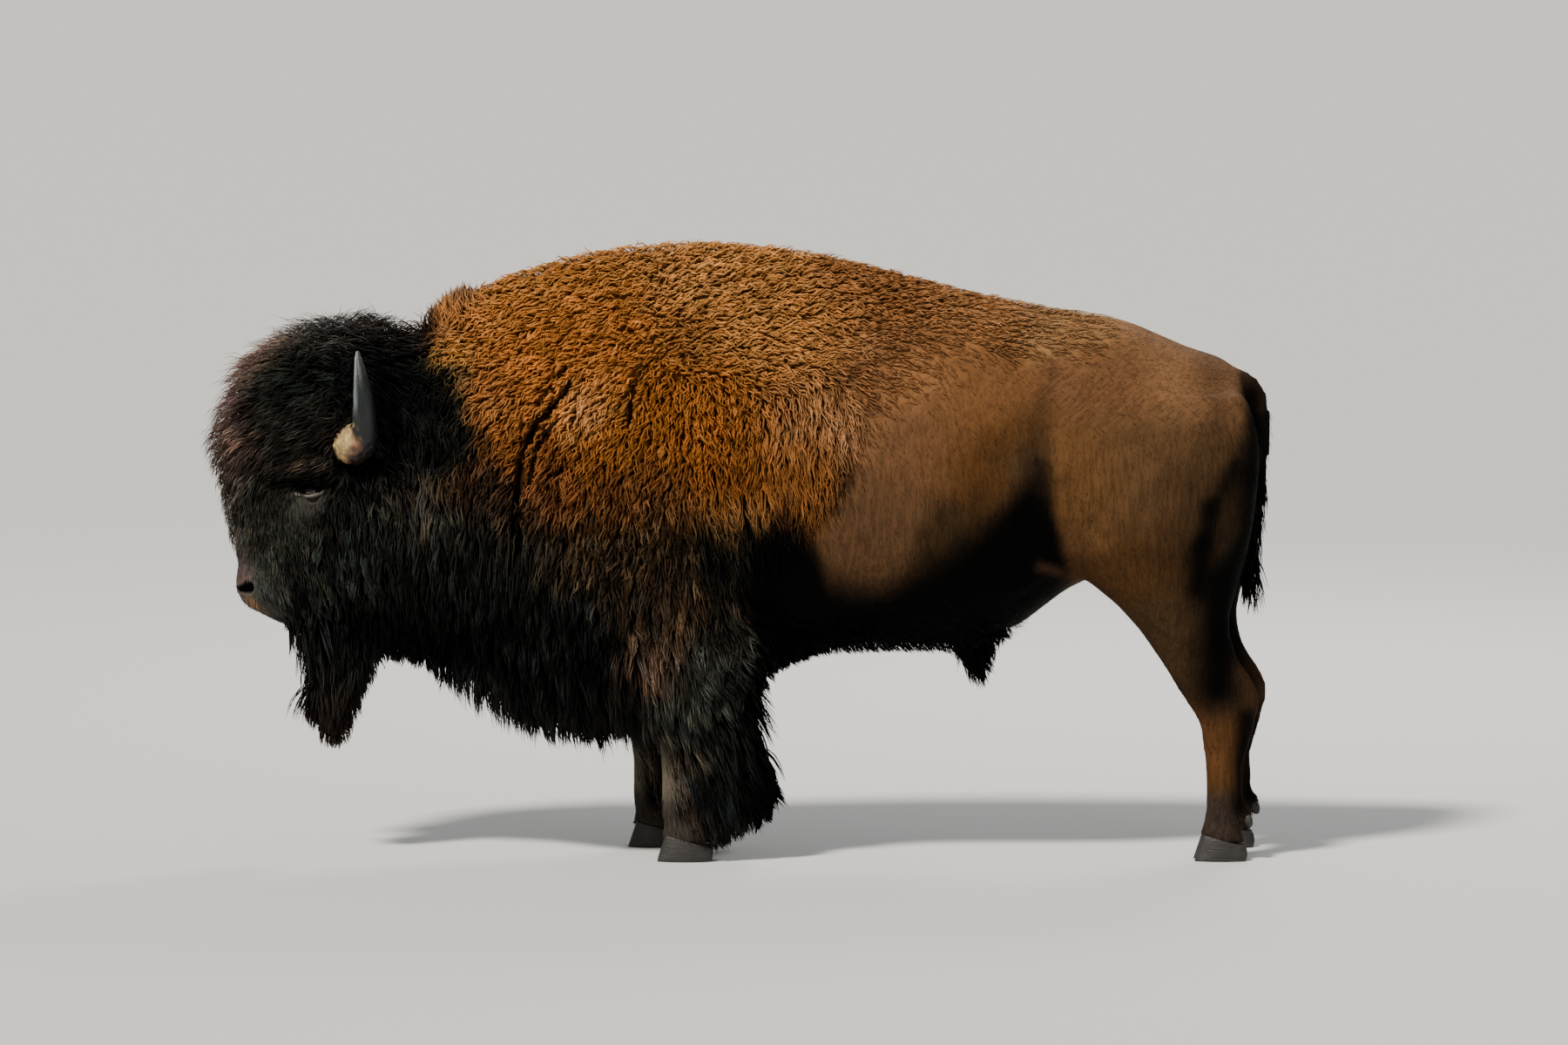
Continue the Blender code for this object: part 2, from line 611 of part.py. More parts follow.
def main():
    horn = {LEFT: tapered("horn_left", HORN_PATH, HORN_RADII)}
    horn[RIGHT] = mirrored(horn[LEFT], "horn_right")
    horn_room = tapered("horn_room", HORN_PATH, HORN_RADII, GAP)
    facing = (Vector(EAR_PATH[-1]) - Vector(EAR_PATH[0])).cross(Vector((0, 0, 1))).normalized()
    flatten = (
        Matrix.Translation(EAR_PATH[0]) @ Matrix.Scale(0.42, 4, facing) @ Matrix.Translation(-Vector(EAR_PATH[0]))
    )
    ear = {LEFT: tapered("ear_left", EAR_PATH, EAR_RADII, 0, 2, 2)}
    ear[LEFT].transform(flatten)
    ear[RIGHT] = mirrored(ear[LEFT], "ear_right")
    ear_room = tapered("ear_room", EAR_PATH, EAR_RADII, 2.5 * GAP, 2, 2)
    ear_room.transform(flatten)
    tail = tapered("tail", TAIL_PATH, TAIL_RADII, 0, 2, 2)
    tail_room = tapered("tail_room", TAIL_PATH, TAIL_RADII, GAP, 2, 2)
    eyes, eye_rooms = {}, []
    for side, side_name in ((LEFT, "left"), (RIGHT, "right")):
        at = (EYE_AT.x, side * abs(EYE_AT.y), EYE_AT.z)
        eyes[side] = ball(f"eye_{side_name}", at, [EYE_RADIUS] * 3)
        eye_rooms.append(ball("eye_room", at, [EYE_RADIUS + GAP] * 3))
        piece(horn[side], f"horn_{side_name}", "horn", HORN_GREY)
        piece(ear[side], f"ear_{side_name}", "mane", MANE_BLACK)
        piece(eyes[side], f"eye_{side_name}", "eye", EYE_DARK)

    make_flesh(
        [horn_room, mirrored(horn_room, "horn_room_right")],
        [ear_room, mirrored(ear_room, "ear_room_right")],
        eye_rooms,
        tail_room,
    )
    below_tail = box_between("below_tail", (1, -1, 0), (2, 1, TAIL_END))
    piece(less(tail, below_tail), "tail", "coat", COAT_BROWN)
    piece(tassel_loft(), "tail_tassel", "mane", MANE_BLACK)
    make_hooves()


start_clean()
PARTS = new_collection("bison")
CUTTERS = new_collection("cutters")
main()
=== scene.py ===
# %% [markdown]
# # A bull bison, life size
# The animal is built in three layers, as it is in life. First comes one skin over flesh and bone.
# Then locks of hair grow out of that skin, each a thin solid of its own. Last come the hard parts
# that stand clear of the hair: horns, eyes, hooves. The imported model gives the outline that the
# tips of the hair must reach, so it is loaded first and never moved.

# %% Load the frame
import math
import time

import bmesh
import bpy
import numpy as np
from mathutils import Matrix, Vector, bvhtree, kdtree, noise


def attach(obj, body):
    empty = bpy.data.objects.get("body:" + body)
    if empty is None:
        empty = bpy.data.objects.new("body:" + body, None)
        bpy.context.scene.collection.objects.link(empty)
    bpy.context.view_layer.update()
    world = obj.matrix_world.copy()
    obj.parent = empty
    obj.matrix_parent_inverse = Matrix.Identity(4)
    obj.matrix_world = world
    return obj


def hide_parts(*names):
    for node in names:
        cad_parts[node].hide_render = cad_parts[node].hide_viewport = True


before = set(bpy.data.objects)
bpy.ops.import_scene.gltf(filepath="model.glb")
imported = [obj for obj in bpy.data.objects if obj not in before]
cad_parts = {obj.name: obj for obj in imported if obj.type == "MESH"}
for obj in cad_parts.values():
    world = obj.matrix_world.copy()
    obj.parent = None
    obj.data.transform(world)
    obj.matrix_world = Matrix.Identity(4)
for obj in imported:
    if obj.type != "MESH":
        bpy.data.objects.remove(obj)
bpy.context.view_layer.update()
started = time.time()
LEFT, RIGHT = -1, 1  # the sign of y on each side; the animal faces -X
FAR_FORE_SHIFT = -0.090  # the right foreleg stands this much further forward
FAR_HIND_SHIFT = 0.040  # the right hind leg stands this much further back
ELEVATION = math.radians(5.0)  # the animal is seen from this far above the level

# %% [markdown]
# A few small tools serve the whole animal. `through` draws a smooth curve through given
# values, `ease` is a soft step, and `near_side` folds the animal onto its left side, so that one
# description of skin, hair and colour holds for both sides and for all four legs.

# %% Curves, soft steps and symmetry


def ease(value, low, high):
    """0 up to low, 1 from high on, and a soft step between."""
    t = np.clip((np.asarray(value, float) - low) / (high - low), 0, 1)
    return t * t * (3 - 2 * t)


def through(*points):
    """A smooth function of an array through (position, value) points."""
    xs = np.array([x for x, _ in points], float)
    ys = np.array([y for _, y in points], float)
    rise = np.diff(ys) / np.diff(xs)
    slope = np.concatenate(([rise[0]], np.zeros(len(xs) - 2), [rise[-1]]))
    both = rise[:-1] * rise[1:]
    total = rise[:-1] + rise[1:]
    slope[1:-1] = np.where(both > 0, 2 * both / np.where(both > 0, total, 1), 0)

    def value(at):
        at = np.clip(np.asarray(at, float), xs[0], xs[-1])
        i = np.clip(np.searchsorted(xs, at, side="right") - 1, 0, len(xs) - 2)
        span = xs[i + 1] - xs[i]
        t = (at - xs[i]) / span
        return (
            ys[i] * (1 + 2 * t) * (1 - t) ** 2
            + slope[i] * span * t * (1 - t) ** 2
            + ys[i + 1] * t * t * (3 - 2 * t)
            + slope[i + 1] * span * t * t * (t - 1)
        )

    return value


def bell(distance):
    """1 at no distance, falling away smoothly on both sides to almost nothing at 2."""
    return np.exp(-(distance**2))


def unit(vectors):
    """The same directions, all one long."""
    return vectors / np.maximum(np.linalg.norm(vectors, axis=-1, keepdims=True), 1e-9)


def near_side(points):
    """The same places on the left side of the animal, with the left legs' stance."""
    x, y, z = points.T
    right = y > 0
    # what moves with a right leg: below the elbow in front, and up to the rump behind
    fore = ease(z, 0.78, 0.55) * ease(x, 0.45, 0.25) * ease(x, -0.75, -0.60)
    rump = ease(z, 1.44, 1.34) * ease(y, 0.02, 0.10)
    hind = np.maximum(ease(z, 1.10, 0.75), rump) * ease(x, 0.70, 0.95)
    moved = x - right * (FAR_FORE_SHIFT * fore + FAR_HIND_SHIFT * hind)
    return np.stack((moved, -np.abs(y), z), axis=1)


def as_seen(left):
    """Places on the left side as the landmarks were noted: from the side, looking slightly down."""
    return left + left[:, 1:2] * (0, 0, math.tan(ELEVATION))


def away_from(points, place):
    """Distance from each point to a place, or to a place of its own."""
    return np.linalg.norm(points - place, axis=-1)


def to_stroke(points, a, b, squeeze=(1, 1, 1)):
    """Distance from each point to the line from a to b, with each axis stretched by squeeze."""
    squeeze = np.asarray(squeeze, float)
    p, a, b = points * squeeze, np.asarray(a) * squeeze, np.asarray(b) * squeeze
    along = b - a
    t = np.clip(((p - a) @ along) / max(along @ along, 1e-12), 0, 1)
    return away_from(p - a, t[:, None] * along)


def ripples(points, size, seed):
    """Smooth noise from -1 to 1 with lumps of about that size."""
    shift = Vector((seed * 7.3, seed * 3.1, seed * 5.7))
    return np.array([noise.noise(Vector(p) / size + shift) for p in points]) * 1.6


# %% [markdown]
# A material in Blender is a graph of nodes. Wiring sums of masks by hand is slow to read, so a
# small class wraps a socket and lets ordinary Python arithmetic add the Math nodes.

# %% Shader maths


class Wire:
    """A number that varies over a surface, on which Python arithmetic adds Math nodes."""

    def __init__(self, look, socket):
        self.look, self.socket = look, socket

    def math(self, operation, *values):
        node = self.look.node("ShaderNodeMath", {"operation": operation}, dict(enumerate(values)))
        return Wire(self.look, node.outputs[0])

    def __add__(self, other):
        return self.math("ADD", self, other)

    __radd__ = __add__

    def __mul__(self, other):
        return self.math("MULTIPLY", self, other)

    __rmul__ = __mul__

    def __sub__(self, other):
        return self.math("SUBTRACT", self, other)

    def __rsub__(self, other):
        return self.math("SUBTRACT", other, self)

    def soft(self, low, high):
        """0 where this is low, 1 where it is high, clamped between."""
        settings = {"interpolation_type": "SMOOTHSTEP"}
        values = {"Value": self, "From Min": low, "From Max": high}
        node = self.look.node("ShaderNodeMapRange", settings, values)
        return Wire(self.look, node.outputs["Result"])


class Look:
    """A material under construction, with one Principled shader."""

    def __init__(self, name, **sockets):
        self.material = bpy.data.materials.new(name)
        self.material.use_nodes = True
        self.tree = self.material.node_tree
        self.shader = self.tree.nodes["Principled BSDF"]
        self.feed(self.shader, sockets)

    def feed(self, node, values):
        """Links or sets each socket of the node that the values name."""
        for key, value in values.items():
            socket = node.inputs[key.replace("_", " ") if isinstance(key, str) else key]
            if isinstance(value, Wire):
                value = value.socket
            if isinstance(value, bpy.types.NodeSocket):
                self.tree.links.new(value, socket)
            else:
                socket.default_value = value

    def node(self, kind, settings=None, values=None):
        """Adds a node with these settings and these values or links in its sockets."""
        made = self.tree.nodes.new(kind)
        for key, value in (settings or {}).items():
            if key == "stops":
                ramp = made.color_ramp
                while len(ramp.elements) < len(value):
                    ramp.elements.new(0.5)
                for element, (place, colour) in zip(ramp.elements, value):
                    element.position = place
                    element.color = (*colour, 1)
            else:
                setattr(made, key, value)
        self.feed(made, values or {})
        return made

    def place(self, scale=(1, 1, 1), turn=(0, 0, 0)):
        """Object coordinates, turned and then stretched."""
        where = self.node("ShaderNodeTexCoord").outputs["Object"]
        turned = self.node("ShaderNodeMapping", None, {"Vector": where, "Rotation": turn})
        values = {"Vector": turned.outputs[0], "Scale": scale}
        return self.node("ShaderNodeMapping", None, values).outputs[0]

    def grain(self, scale, where, detail=3.0):
        """Noise about 0.5, with that many grains to the metre."""
        values = {"Vector": where, "Scale": scale, "Detail": detail, "Roughness": 0.6}
        return Wire(self, self.node("ShaderNodeTexNoise", None, values).outputs[0])

    def attribute(self, name):
        """What an array painted on the mesh says, as a node."""
        return self.node("ShaderNodeAttribute", {"attribute_name": name})

    def shaded(self, colour, amount):
        """That colour made darker or lighter by a varying number about 1."""
        settings = {"operation": "SCALE"}
        node = self.node("ShaderNodeVectorMath", settings, {0: colour, "Scale": amount})
        return node.outputs[0]

    def bump(self, height, distance, strength):
        """A normal that shows relief of that height without moving the mesh."""
        values = {"Height": height, "Distance": distance, "Strength": strength}
        return self.node("ShaderNodeBump", None, values).outputs[0]


def rgb(*values):
    """A colour as sockets hold it, with its alpha."""
    return (*values, 1.0)


# %% [markdown]
# Limbs, toes and the tail are lofts: a ring of vertices is laid at each station along the bone
# and each ring is bridged to the next. Reading down the list of rings is reading down the limb.
# Horns are made the same way, so the steps that all of them share stand here once.

# %% Lofts


def circle(mesh, sides, matrix, radius=1.0):
    """Adds a ring of vertices and gives them."""
    return bmesh.ops.create_circle(mesh, segments=sides, radius=radius, matrix=matrix)["verts"]


def ring_of(verts):
    """The edges of one ring, from its vertices."""
    return list({edge for vertex in verts for edge in vertex.link_edges})


def bridged(mesh, rings, sides):
    """Bridges each ring of edges to the next and caps both ends."""
    bmesh.ops.holes_fill(mesh, edges=rings[0] + rings[-1], sides=sides)
    for here, there in zip(rings, rings[1:]):
        bmesh.ops.bridge_loops(mesh, edges=here + there)


def loft(mesh, stations, sides=24):
    """A limb through flat ellipses (x, y, z, half_x, half_y)."""
    rings = []
    for *place, half_x, half_y in stations:
        matrix = Matrix.Translation(place) @ Matrix.Diagonal((half_x, half_y, 1, 1))
        rings.append(ring_of(circle(mesh, sides, matrix)))
    bridged(mesh, rings, sides)
    bmesh.ops.recalc_face_normals(mesh, faces=mesh.faces)


def mirrored(mesh, shift=0.0):
    """Adds the right-hand copy of everything in the mesh, set along by shift."""
    source = mesh.verts[:] + mesh.edges[:] + mesh.faces[:]
    copy = bmesh.ops.duplicate(mesh, geom=source)["geom"]
    verts = [part for part in copy if isinstance(part, bmesh.types.BMVert)]
    faces = [part for part in copy if isinstance(part, bmesh.types.BMFace)]
    bmesh.ops.scale(mesh, vec=(1, -1, 1), verts=verts)
    bmesh.ops.translate(mesh, vec=(shift, 0, 0), verts=verts)
    bmesh.ops.reverse_faces(mesh, faces=faces)


def ball(mesh, place, radii, columns=20, rows=14):
    """Adds an ellipsoid and gives its vertices."""
    matrix = Matrix.Translation(place) @ Matrix.Diagonal((*radii, 1))
    return bmesh.ops.create_uvsphere(
        mesh, u_segments=columns, v_segments=rows, radius=1.0, matrix=matrix
    )["verts"]


def finished(mesh, name):
    """The mesh data of a bmesh, which is then let go."""
    data = bpy.data.meshes.new(name)
    mesh.to_mesh(data)
    mesh.free()
    return data


def linked(name, data):
    """An object that carries the data, in the scene."""
    piece = bpy.data.objects.new(name, data)
    bpy.context.scene.collection.objects.link(piece)
    return piece


def show(data, name, look):
    """Turns mesh data into a piece of the animal."""
    piece = linked(name, data)
    data.materials.clear()
    data.materials.append(look.material)
    data.shade_smooth()
    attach(piece, "root")
    return piece


# %% [markdown]
# The coat is described at named places, each with how long the hair is there, how deep the coat
# lies over the skin, which way it falls, and what kind of hair it is. Everywhere between, the
# description blends. This is how a taxidermist's notes read, and it keeps skin and hair in step:
# the skin is sunk by the same depth that the hair then rises through. The lie is blended as a line
# without front or back, so hair that parts along the crest keeps its slant across the parting.

# %% Kinds of hair and where they grow

KINDS = {
    # width of a lock, its side-to-side crimp, how far tips gather, how unruly,
    # and how many locks grow in a square metre
    "wool": (0.008, 0.006, 0.6, 0.26, 11900),
    "bonnet": (0.0048, 0.004, 0.5, 0.22, 17400),
    "strand": (0.006, 0.005, 0.78, 0.14, 11000),
    "curtain": (0.0058, 0.0034, 0.7, 0.12, 10400),
    "chaps": (0.0066, 0.0011, 0.78, 0.07, 14500),
    "fuzz": (0.0032, 0.001, 0.35, 0.18, 19000),
    "sleek": (0.0024, 0.0004, 0.25, 0.1, 3000),
    "stubble": (0.0018, 0, 0.2, 0.12, 12000),
    "bare": (0.0018, 0, 0, 0.1, 0),
}

# name: place on the left side (x, |y|, z), reach, kind, length, depth, lie (x, outward, z)
PLACES = {
    "crown": ((-1.22, 0.04, 1.55), 0.09, "bonnet", 0.11, 0.06, (-1, 0.1, 0.15)),
    "crown back": ((-1.05, 0.06, 1.53), 0.08, "bonnet", 0.09, 0.05, (0.9, 0.2, -0.15)),
    "upper forehead": ((-1.4, 0.06, 1.47), 0.09, "bonnet", 0.115, 0.075, (-1, 0.2, -0.35)),
    "forehead": ((-1.51, 0.05, 1.3), 0.09, "bonnet", 0.12, 0.085, (-0.7, 0.1, -0.75)),
    "lower forehead": ((-1.52, 0.04, 1.14), 0.07, "bonnet", 0.085, 0.06, (-0.35, 0.1, -1)),
    "temple": ((-1.32, 0.2, 1.38), 0.09, "bonnet", 0.09, 0.045, (-1, 0.2, -0.45)),
    "before the horn": ((-1.26, 0.2, 1.22), 0.07, "bonnet", 0.065, 0.032, (-1, 0.1, -0.4)),
    "brow": ((-1.28, 0.18, 1.13), 0.045, "fuzz", 0.04, 0.018, (-0.9, 0.3, -0.35)),
    "lids": ((-1.25, 0.17, 1.07), 0.036, "stubble", 0.01, 0.009, (-0.2, 0.1, -1)),
    "below the eye": ((-1.26, 0.17, 1), 0.05, "fuzz", 0.024, 0.01, (0.1, 0, -1)),
    "side of the face": ((-1.37, 0.14, 0.96), 0.07, "fuzz", 0.032, 0.014, (0.05, 0.1, -1)),
    "bridge of the nose": ((-1.49, 0.03, 1), 0.07, "fuzz", 0.042, 0.02, (-0.12, 0.1, -1)),
    "above the nose": ((-1.48, 0.04, 0.89), 0.04, "fuzz", 0.02, 0.008, (0.05, 0.1, -1)),
    "nose": ((-1.48, 0.04, 0.8), 0.022, "bare", 0.008, 0.002, (0.1, 0.1, -1)),
    "behind the nostril": ((-1.425, 0.075, 0.83), 0.024, "fuzz", 0.016, 0.004, (0.25, 0.1, -1)),
    "side of the muzzle": ((-1.38, 0.11, 0.79), 0.05, "fuzz", 0.03, 0.008, (0.3, 0.1, -1)),
    "jowl": ((-1.29, 0.13, 0.8), 0.05, "fuzz", 0.05, 0.016, (0.25, 0.1, -1)),
    "lips": ((-1.4, 0.06, 0.71), 0.035, "fuzz", 0.018, 0.003, (0.35, 0, -1)),
    "jaw": ((-1.18, 0.14, 0.78), 0.07, "strand", 0.09, 0.03, (0.2, 0.1, -1)),
    "cheek": ((-1.13, 0.18, 0.94), 0.08, "strand", 0.085, 0.032, (0.08, 0.1, -1)),
    "round the ear": ((-1.03, 0.22, 1.13), 0.06, "strand", 0.075, 0.04, (0.45, 0.3, -1)),
    "behind the horn": ((-1.01, 0.19, 1.35), 0.08, "bonnet", 0.08, 0.045, (0.7, 0.2, -0.8)),
    "under the chin": ((-1.18, 0.02, 0.68), 0.06, "curtain", 0.15, 0.03, (0, 0, -1)),
    "nape": ((-0.93, 0.04, 1.58), 0.08, "wool", 0.075, 0.045, (0.8, 0.1, 0.3)),
    "crest of the neck": ((-0.88, 0.02, 1.62), 0.07, "bonnet", 0.11, 0.03, (-0.45, 0.1, 0.9)),
    "side of the neck": ((-0.9, 0.24, 1.3), 0.09, "strand", 0.085, 0.048, (0.25, 0.1, -1)),
    "middle of the neck": ((-0.9, 0.27, 1.02), 0.11, "strand", 0.11, 0.055, (0.05, 0.1, -1)),
    "low neck": ((-0.88, 0.22, 0.74), 0.11, "curtain", 0.15, 0.065, (0.05, 0.1, -1)),
    "throat": ((-0.95, 0.04, 0.58), 0.1, "curtain", 0.15, 0.07, (0.1, 0.1, -1)),
    "front of the cape": ((-0.76, 0.22, 1.46), 0.1, "wool", 0.042, 0.034, (-0.85, 0.1, -0.5)),
    "top of the neck": ((-0.72, 0.04, 1.68), 0.09, "wool", 0.05, 0.03, (-0.85, 0.2, -0.4)),
    "hump, front": ((-0.42, 0.06, 1.76), 0.11, "wool", 0.046, 0.028, (-0.9, 0.2, -0.38)),
    "hump, rear": ((0.02, 0.06, 1.78), 0.12, "wool", 0.046, 0.03, (0.9, 0.2, 0.38)),
    "side of the hump": ((-0.45, 0.25, 1.52), 0.12, "wool", 0.042, 0.034, (-0.8, 0.1, -0.5)),
    "middle of the hump": ((-0.15, 0.2, 1.62), 0.1, "wool", 0.042, 0.03, (0.95, 0.1, 0.25)),
    "behind the hump": ((0.05, 0.27, 1.55), 0.11, "wool", 0.042, 0.028, (0.98, 0.1, -0.06)),
    "point of the shoulder": ((-0.62, 0.32, 1.22), 0.11, "wool", 0.05, 0.042, (-0.55, 0.1, -0.85)),
    "shoulder": ((-0.32, 0.36, 1.25), 0.12, "wool", 0.05, 0.042, (-0.3, 0.1, -1)),
    "back of the shoulder": ((-0.03, 0.37, 1.28), 0.11, "wool", 0.052, 0.034, (0.2, 0.1, -1)),
    "low shoulder": ((-0.4, 0.35, 0.98), 0.12, "wool", 0.075, 0.05, (-0.18, 0.1, -1)),
    "over the elbow": ((-0.06, 0.36, 1), 0.1, "strand", 0.09, 0.045, (0.35, 0.1, -0.95)),
    "fringe": ((0.13, 0.37, 1.2), 0.09, "strand", 0.105, 0.022, (-0.06, 0.05, -1)),
    "high fringe": ((0.24, 0.36, 1.33), 0.08, "strand", 0.075, 0.016, (0.12, 0.05, -1)),
    "low fringe": ((0.05, 0.37, 1.03), 0.07, "strand", 0.1, 0.026, (0.1, 0.05, -1)),
    "upper arm": ((-0.22, 0.34, 0.76), 0.1, "strand", 0.105, 0.055, (0.02, 0.1, -1)),
    "breast": ((-0.62, 0.24, 0.8), 0.12, "curtain", 0.13, 0.07, (-0.02, 0.1, -1)),
    "brisket": ((-0.6, 0.1, 0.5), 0.1, "curtain", 0.21, 0.07, (0.08, 0.1, -1)),
    "low brisket": ((-0.46, 0.05, 0.42), 0.1, "curtain", 0.21, 0.07, (0.1, 0.1, -1)),
    "between the forelegs": ((-0.15, 0.02, 0.52), 0.09, "strand", 0.06, 0.03, (0.3, 0, -1)),
    "front of the forearm": ((-0.27, 0.24, 0.54), 0.06, "chaps", 0.14, 0.045, (0.08, 0.15, -1)),
    "forearm": ((-0.14, 0.26, 0.5), 0.07, "chaps", 0.13, 0.045, (0.3, 0.15, -1)),
    "back of the forearm": ((-0.02, 0.2, 0.5), 0.06, "chaps", 0.165, 0.04, (0.55, 0.1, -0.9)),
    "back of the foreleg": ((0, 0.19, 0.3), 0.09, "chaps", 0.17, 0.036, (0.38, 0.1, -1)),
    "elbow": ((0.03, 0.27, 0.66), 0.06, "chaps", 0.12, 0.042, (0.85, 0.2, -0.5)),
    "knee": ((-0.25, 0.18, 0.37), 0.045, "sleek", 0.03, 0.04, (0.05, 0.1, -1)),
    "front of the cannon": ((-0.25, 0.17, 0.22), 0.045, "sleek", 0.022, 0.036, (0.05, 0, -1)),
    "side of the cannon": ((-0.2, 0.21, 0.22), 0.03, "sleek", 0.024, 0.036, (0.15, 0, -1)),
    "back of the cannon": ((-0.13, 0.17, 0.24), 0.04, "chaps", 0.13, 0.036, (0.42, 0.1, -1)),
    "fore pastern": ((-0.17, 0.17, 0.08), 0.03, "sleek", 0.024, 0.03, (0.15, 0.1, -1)),
    "fore coronet": ((-0.17, 0.17, 0.062), 0.022, "fuzz", 0.034, 0.006, (0.1, 0.25, -1)),
    "behind the elbow": ((0.2, 0.32, 0.8), 0.1, "sleek", 0.026, 0.008, (0.5, 0, -0.8)),
    "rough back": ((0.4, 0.1, 1.69), 0.1, "wool", 0.042, 0.018, (0.95, 0.1, -0.12)),
    "upper side": ((0.42, 0.3, 1.48), 0.11, "strand", 0.034, 0.012, (0.95, 0.05, -0.25)),
    "loin": ((0.76, 0.08, 1.6), 0.09, "strand", 0.036, 0.012, (0.95, 0.1, -0.15)),
    "end of the rough hair": ((0.98, 0.14, 1.54), 0.06, "strand", 0.034, 0.009, (1, 0.05, -0.1)),
    "ribs, high": ((0.55, 0.36, 1.28), 0.14, "sleek", 0.022, 0.006, (0.5, 0, -0.87)),
    "ribs, low": ((0.5, 0.35, 0.95), 0.14, "sleek", 0.022, 0.006, (0.32, 0, -0.95)),
    "belly": ((0.45, 0.08, 0.62), 0.12, "curtain", 0.085, 0.014, (0.55, 0, -0.8)),
    "side of the belly": ((0.5, 0.24, 0.68), 0.08, "sleek", 0.03, 0.008, (0.6, 0, -0.8)),
    "navel": ((0.25, 0.1, 0.62), 0.1, "curtain", 0.1, 0.02, (0.4, 0, -0.9)),
    "sheath": ((0.69, 0.02, 0.6), 0.045, "curtain", 0.105, 0.02, (0, 0.05, -1)),
    "flank": ((0.84, 0.3, 1.08), 0.12, "sleek", 0.022, 0.006, (0.45, 0, -0.9)),
    "groin": ((0.95, 0.12, 0.8), 0.09, "sleek", 0.024, 0.006, (0.7, 0, -0.6)),
    "hip": ((1.08, 0.26, 1.4), 0.12, "sleek", 0.02, 0.005, (0.7, 0, -0.7)),
    "rump": ((1.3, 0.14, 1.43), 0.1, "sleek", 0.02, 0.005, (0.8, 0, -0.5)),
    "thigh": ((1.15, 0.29, 1.05), 0.15, "sleek", 0.02, 0.005, (0.35, 0, -0.95)),
    "buttock": ((1.46, 0.16, 1.12), 0.1, "sleek", 0.028, 0.006, (0.1, 0, -1)),
    "gaskin": ((1.28, 0.21, 0.66), 0.1, "sleek", 0.018, 0.005, (0.35, 0, -1)),
    "hock": ((1.43, 0.18, 0.46), 0.06, "sleek", 0.016, 0.004, (0.05, 0, -1)),
    "hind cannon": ((1.4, 0.17, 0.25), 0.08, "sleek", 0.016, 0.004, (0.02, 0, -1)),
    "hind pastern": ((1.4, 0.17, 0.09), 0.04, "sleek", 0.02, 0.005, (0.05, 0.1, -1)),
    "behind the hind fetlock": ((1.45, 0.155, 0.13), 0.03, "fuzz", 0.03, 0.005, (0.25, 0, -1)),
    "hind coronet": ((1.38, 0.155, 0.062), 0.022, "fuzz", 0.032, 0.004, (0.08, 0.25, -1)),
    "tail": ((1.53, 0.01, 1.2), 0.05, "sleek", 0.034, 0.006, (0.1, 0.05, -1)),
    "low tail": ((1.515, 0.01, 1.02), 0.06, "curtain", 0.11, 0.004, (-0.22, 0.05, -1)),
    "switch": ((1.5, 0.01, 0.86), 0.06, "curtain", 0.13, 0.01, (-0.02, 0.03, -1)),
}
stations = np.array([place for place, *_ in PLACES.values()])
reaches = np.array([reach for _, reach, *_ in PLACES.values()])


def as_line(lie):
    """The lie as a direction and, with its angle doubled, as a line that has no front or back."""
    x, outward, z = lie
    angle = math.atan2(z, x)
    return math.cos(2 * angle), math.sin(2 * angle), math.cos(angle), math.sin(angle), outward


facts = np.array(
    [
        (*KINDS[kind], length, depth, *as_line(lie))
        for _, _, kind, length, depth, lie in PLACES.values()
    ]
)
AT_ONCE = 20000  # points blended in one go, to spare memory
FALL_OFF = 0.7  # how fast a place loses its say with distance, measured in its reach


def blended(left, places, reaches, facts):
    """The facts of the places round each point, weighted by how near they are."""
    made = np.empty((len(left), facts.shape[1]))
    outer = left * (1, -1, 1)
    for start in range(0, len(left), AT_ONCE):
        some = outer[start : start + AT_ONCE]
        apart = away_from(some[:, None], places[None]) / reaches
        pull = -FALL_OFF * apart**2
        pull = np.exp(pull - pull.max(axis=1, keepdims=True))
        made[start : start + AT_ONCE] = (pull / pull.sum(axis=1, keepdims=True)) @ facts
    return made


def coat_at(points):
    """What grows at each point: width, crimp, gather, wild, crowd, length, depth and lie."""
    found = blended(near_side(points), stations, reaches, facts)
    names = ("width", "crimp", "gather", "wild", "crowd", "length", "depth")
    made = dict(zip(names, found.T))
    double_cos, double_sin, ahead, down, outward = found[:, len(names) :].T
    angle = np.arctan2(double_sin, double_cos) / 2
    lie = np.stack((np.cos(angle), np.sin(angle)), 1)
    forward = np.where((lie * np.stack((ahead, down), 1)).sum(axis=1) < 0, -1, 1)
    lie *= forward[:, None]
    outward = outward * np.where(points[:, 1] > 0, 1, -1)
    made["lie"] = np.stack((lie[:, 0], outward, lie[:, 1]), 1)
    return made


lengths = [length for _, _, _, length, _, _ in PLACES.values()]
print(len(PLACES), "places, from", min(lengths), "to", max(lengths), "m of hair")

# %% [markdown]
# ## The skin
# Under the hair lies one unbroken skin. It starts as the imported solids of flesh, welded by a voxel
# remesh so that their seams vanish. Each point then sinks by the depth of the coat at its place,
# a little at a time, with smoothing between, so that folds don't cross where the coat is deep.

# %% Weld the flesh and sink it under the coat
FLESH = ("head", "beard", "neck", "forequarters", "barrel", "hindquarters", "hind_leg_left")
FLESH += ("hind_leg_right", "tail", "fore_leg_left", "fore_leg_right")
HANGING = ("sheath", "tail_tassel")
EARS = ("ear_left", "ear_right")
FORM_QUADS, FLESH_QUADS, SKIN_QUADS = 0.015, 0.014, 0.0135  # sizes of the faces of each remesh
SINKINGS = 10  # steps in which the skin goes down to the depth of the coat
SMOOTHER = 9  # smoothing at each step for a metre of depth
LEAST_SMOOTH, MOST_SMOOTH = 0.02, 0.6


